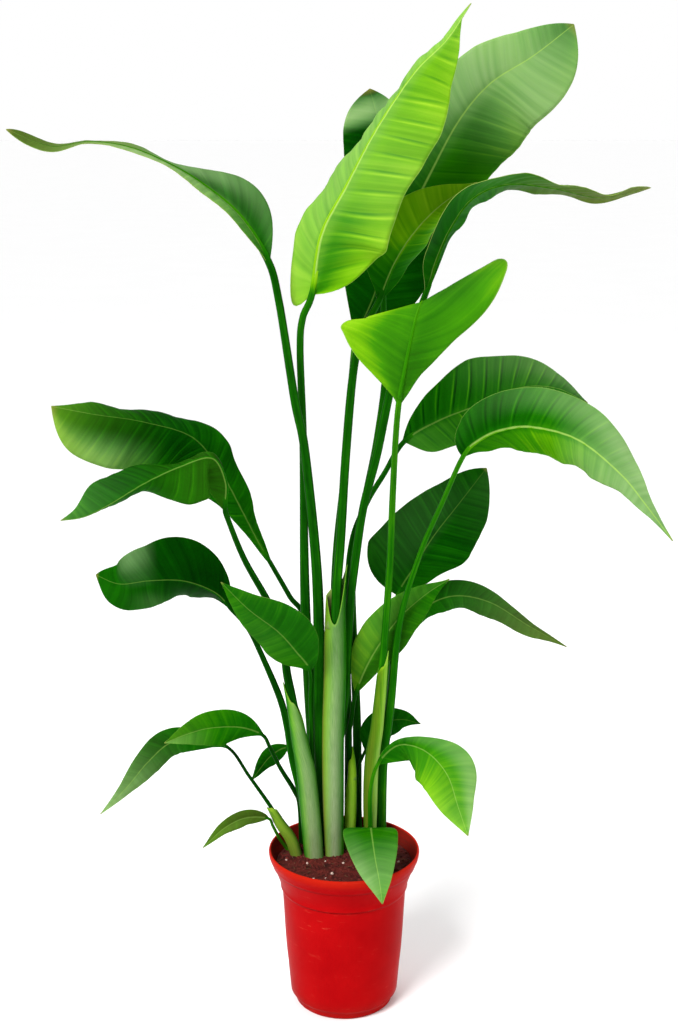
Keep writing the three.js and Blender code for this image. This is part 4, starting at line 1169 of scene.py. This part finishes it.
def scatter(mesh, count, shape, index, draw):
    for _ in range(count):
        spread = soilLooks["spread"] * math.sqrt(draw.random())
        around = draw.uniform(0, 2 * math.pi)
        x, y = spread * math.cos(around), spread * math.sin(around)
        sizes, sink = shape(draw)
        spot = Vector((x, y, soilHeight(x, y) - sink)) * mm
        heading = Matrix.Rotation(draw.uniform(0, 6.28), 4, "Z")
        spin = heading @ Matrix.Rotation(draw.uniform(-0.5, 0.5), 4, "X")
        grow = Matrix.Diagonal((*[s * mm for s in sizes], 1))
        known = len(mesh.faces)
        stand = Matrix.Translation(spot) @ spin @ grow
        bmesh.ops.create_icosphere(mesh, subdivisions=1, radius=1, matrix=stand)
        mesh.faces.ensure_lookup_table()
        for face in mesh.faces[known:]:
            face.material_index = index


soilMesh = turn(soilLooks["side"] + [(r, soilLooks["top"]) for r in (76.9, 75, *range(73, 0, -2), 0)],
                soilLooks["steps"])
for vert in soilMesh.verts:
    if vert.co.z > (soilLooks["top"] - 1) * mm:
        vert.co.z = soilHeight(vert.co.x / mm, vert.co.y / mm) * mm
draw = random.Random(soilLooks["seed"])
scatter(soilMesh, soilLooks["crumbs"], lambda d: ([d.uniform(0.9, 2.8) for _ in "xyz"], 0.3), 1, draw)
scatter(soilMesh, soilLooks["fibres"], lambda d: ((d.uniform(3, 8), 0.35, 0.3), -0.4), 2, draw)
scatter(soilMesh, soilLooks["grains"], lambda d: ([d.uniform(0.8, 2.6) for _ in "xyz"], 0.2), 3, draw)
soilSkins = [soilSkin("peat", 90, 0.85), soilSkin("crumb", 140, 0.8)]
soilSkins += [soilSkin("fibre", 200, 0.8), soilSkin("grain", 260, 0.9)]
soil = pieceFrom(soilMesh, "peatBed", soilSkins)
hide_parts("soil")
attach(soil, "root")
print("soil ready")


# Floor, light and air
floorMesh = bmesh.new()
bmesh.ops.create_grid(floorMesh, x_segments=4, y_segments=4, size=60)


def floorSkin():
    paint = Paint("paleFloor", Specular_IOR_Level=0.1)
    cloud = paint.noise(paint.place(), 3.0, 3.0)
    return paint.wear(paint.blend(cloud, (0.94, 0.94, 0.94), (0.97, 0.97, 0.97)), 0.8)


floor = pieceFrom(floorMesh, "paleFloor", [floorSkin()])
floor.location.z = -0.0004
floor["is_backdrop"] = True

lights = [
  {"name": "keyLight", "place": (-1.3, -1.9, 2.5), "aim": (0, 0, 0.65), "size": (1.4, 1.4), "power": 30},
  {"name": "sideLight", "place": (2.0, 0.1, 1.1), "aim": (0, 0, 0.5), "size": (0.35, 1.8), "power": 14},
  {"name": "topLight", "place": (0.1, 0.9, 2.7), "aim": (0, 0, 0.8), "size": (1.6, 0.8), "power": 26},
]


def aimed(name, lamp, place, aim):
    holder = bpy.data.objects.new(name, lamp)
    holder.location = place
    holder.rotation_euler = (Vector(aim) - Vector(place)).to_track_quat("-Z", "Y").to_euler()
    bpy.context.scene.collection.objects.link(holder)


for light in lights:
    lamp = bpy.data.lights.new(light["name"], "AREA")
    lamp.shape = "RECTANGLE"
    lamp.size, lamp.size_y = light["size"]
    lamp.energy = light["power"]
    aimed(light["name"], lamp, light["place"], light["aim"])
daylight = bpy.data.lights.new("daylight", "SUN")
daylight.energy = 2.8
daylight.angle = math.radians(24)
aimed("daylight", daylight, (-1.2, -1.7, 2.6), (0, 0, 0.5))

# The air is white near the floor's far edge and dimmer overhead
air = bpy.data.worlds.new("paleAir")
air.use_nodes = True
nodes, links = air.node_tree.nodes, air.node_tree.links
facing = nodes.new("ShaderNodeTexCoord")
parts = nodes.new("ShaderNodeSeparateXYZ")
fade = nodes.new("ShaderNodeMapRange")
for key, number in enumerate((0.1, 0.4, 1.0, 0.38), 1):
    fade.inputs[key].default_value = number
links.new(facing.outputs["Generated"], parts.inputs[0])
links.new(parts.outputs[2], fade.inputs[0])
links.new(fade.outputs[0], nodes["Background"].inputs[1])
nodes["Background"].inputs[0].default_value = (1.0, 1.0, 1.0, 1)
bpy.context.scene.world = air
bpy.context.scene.view_settings.view_transform = "Standard"
print("stage ready")


def corners(box):
    return [[float(value) for value in corner] for corner in box]


{"cad": corners(cadBox), "visual": corners(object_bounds())}
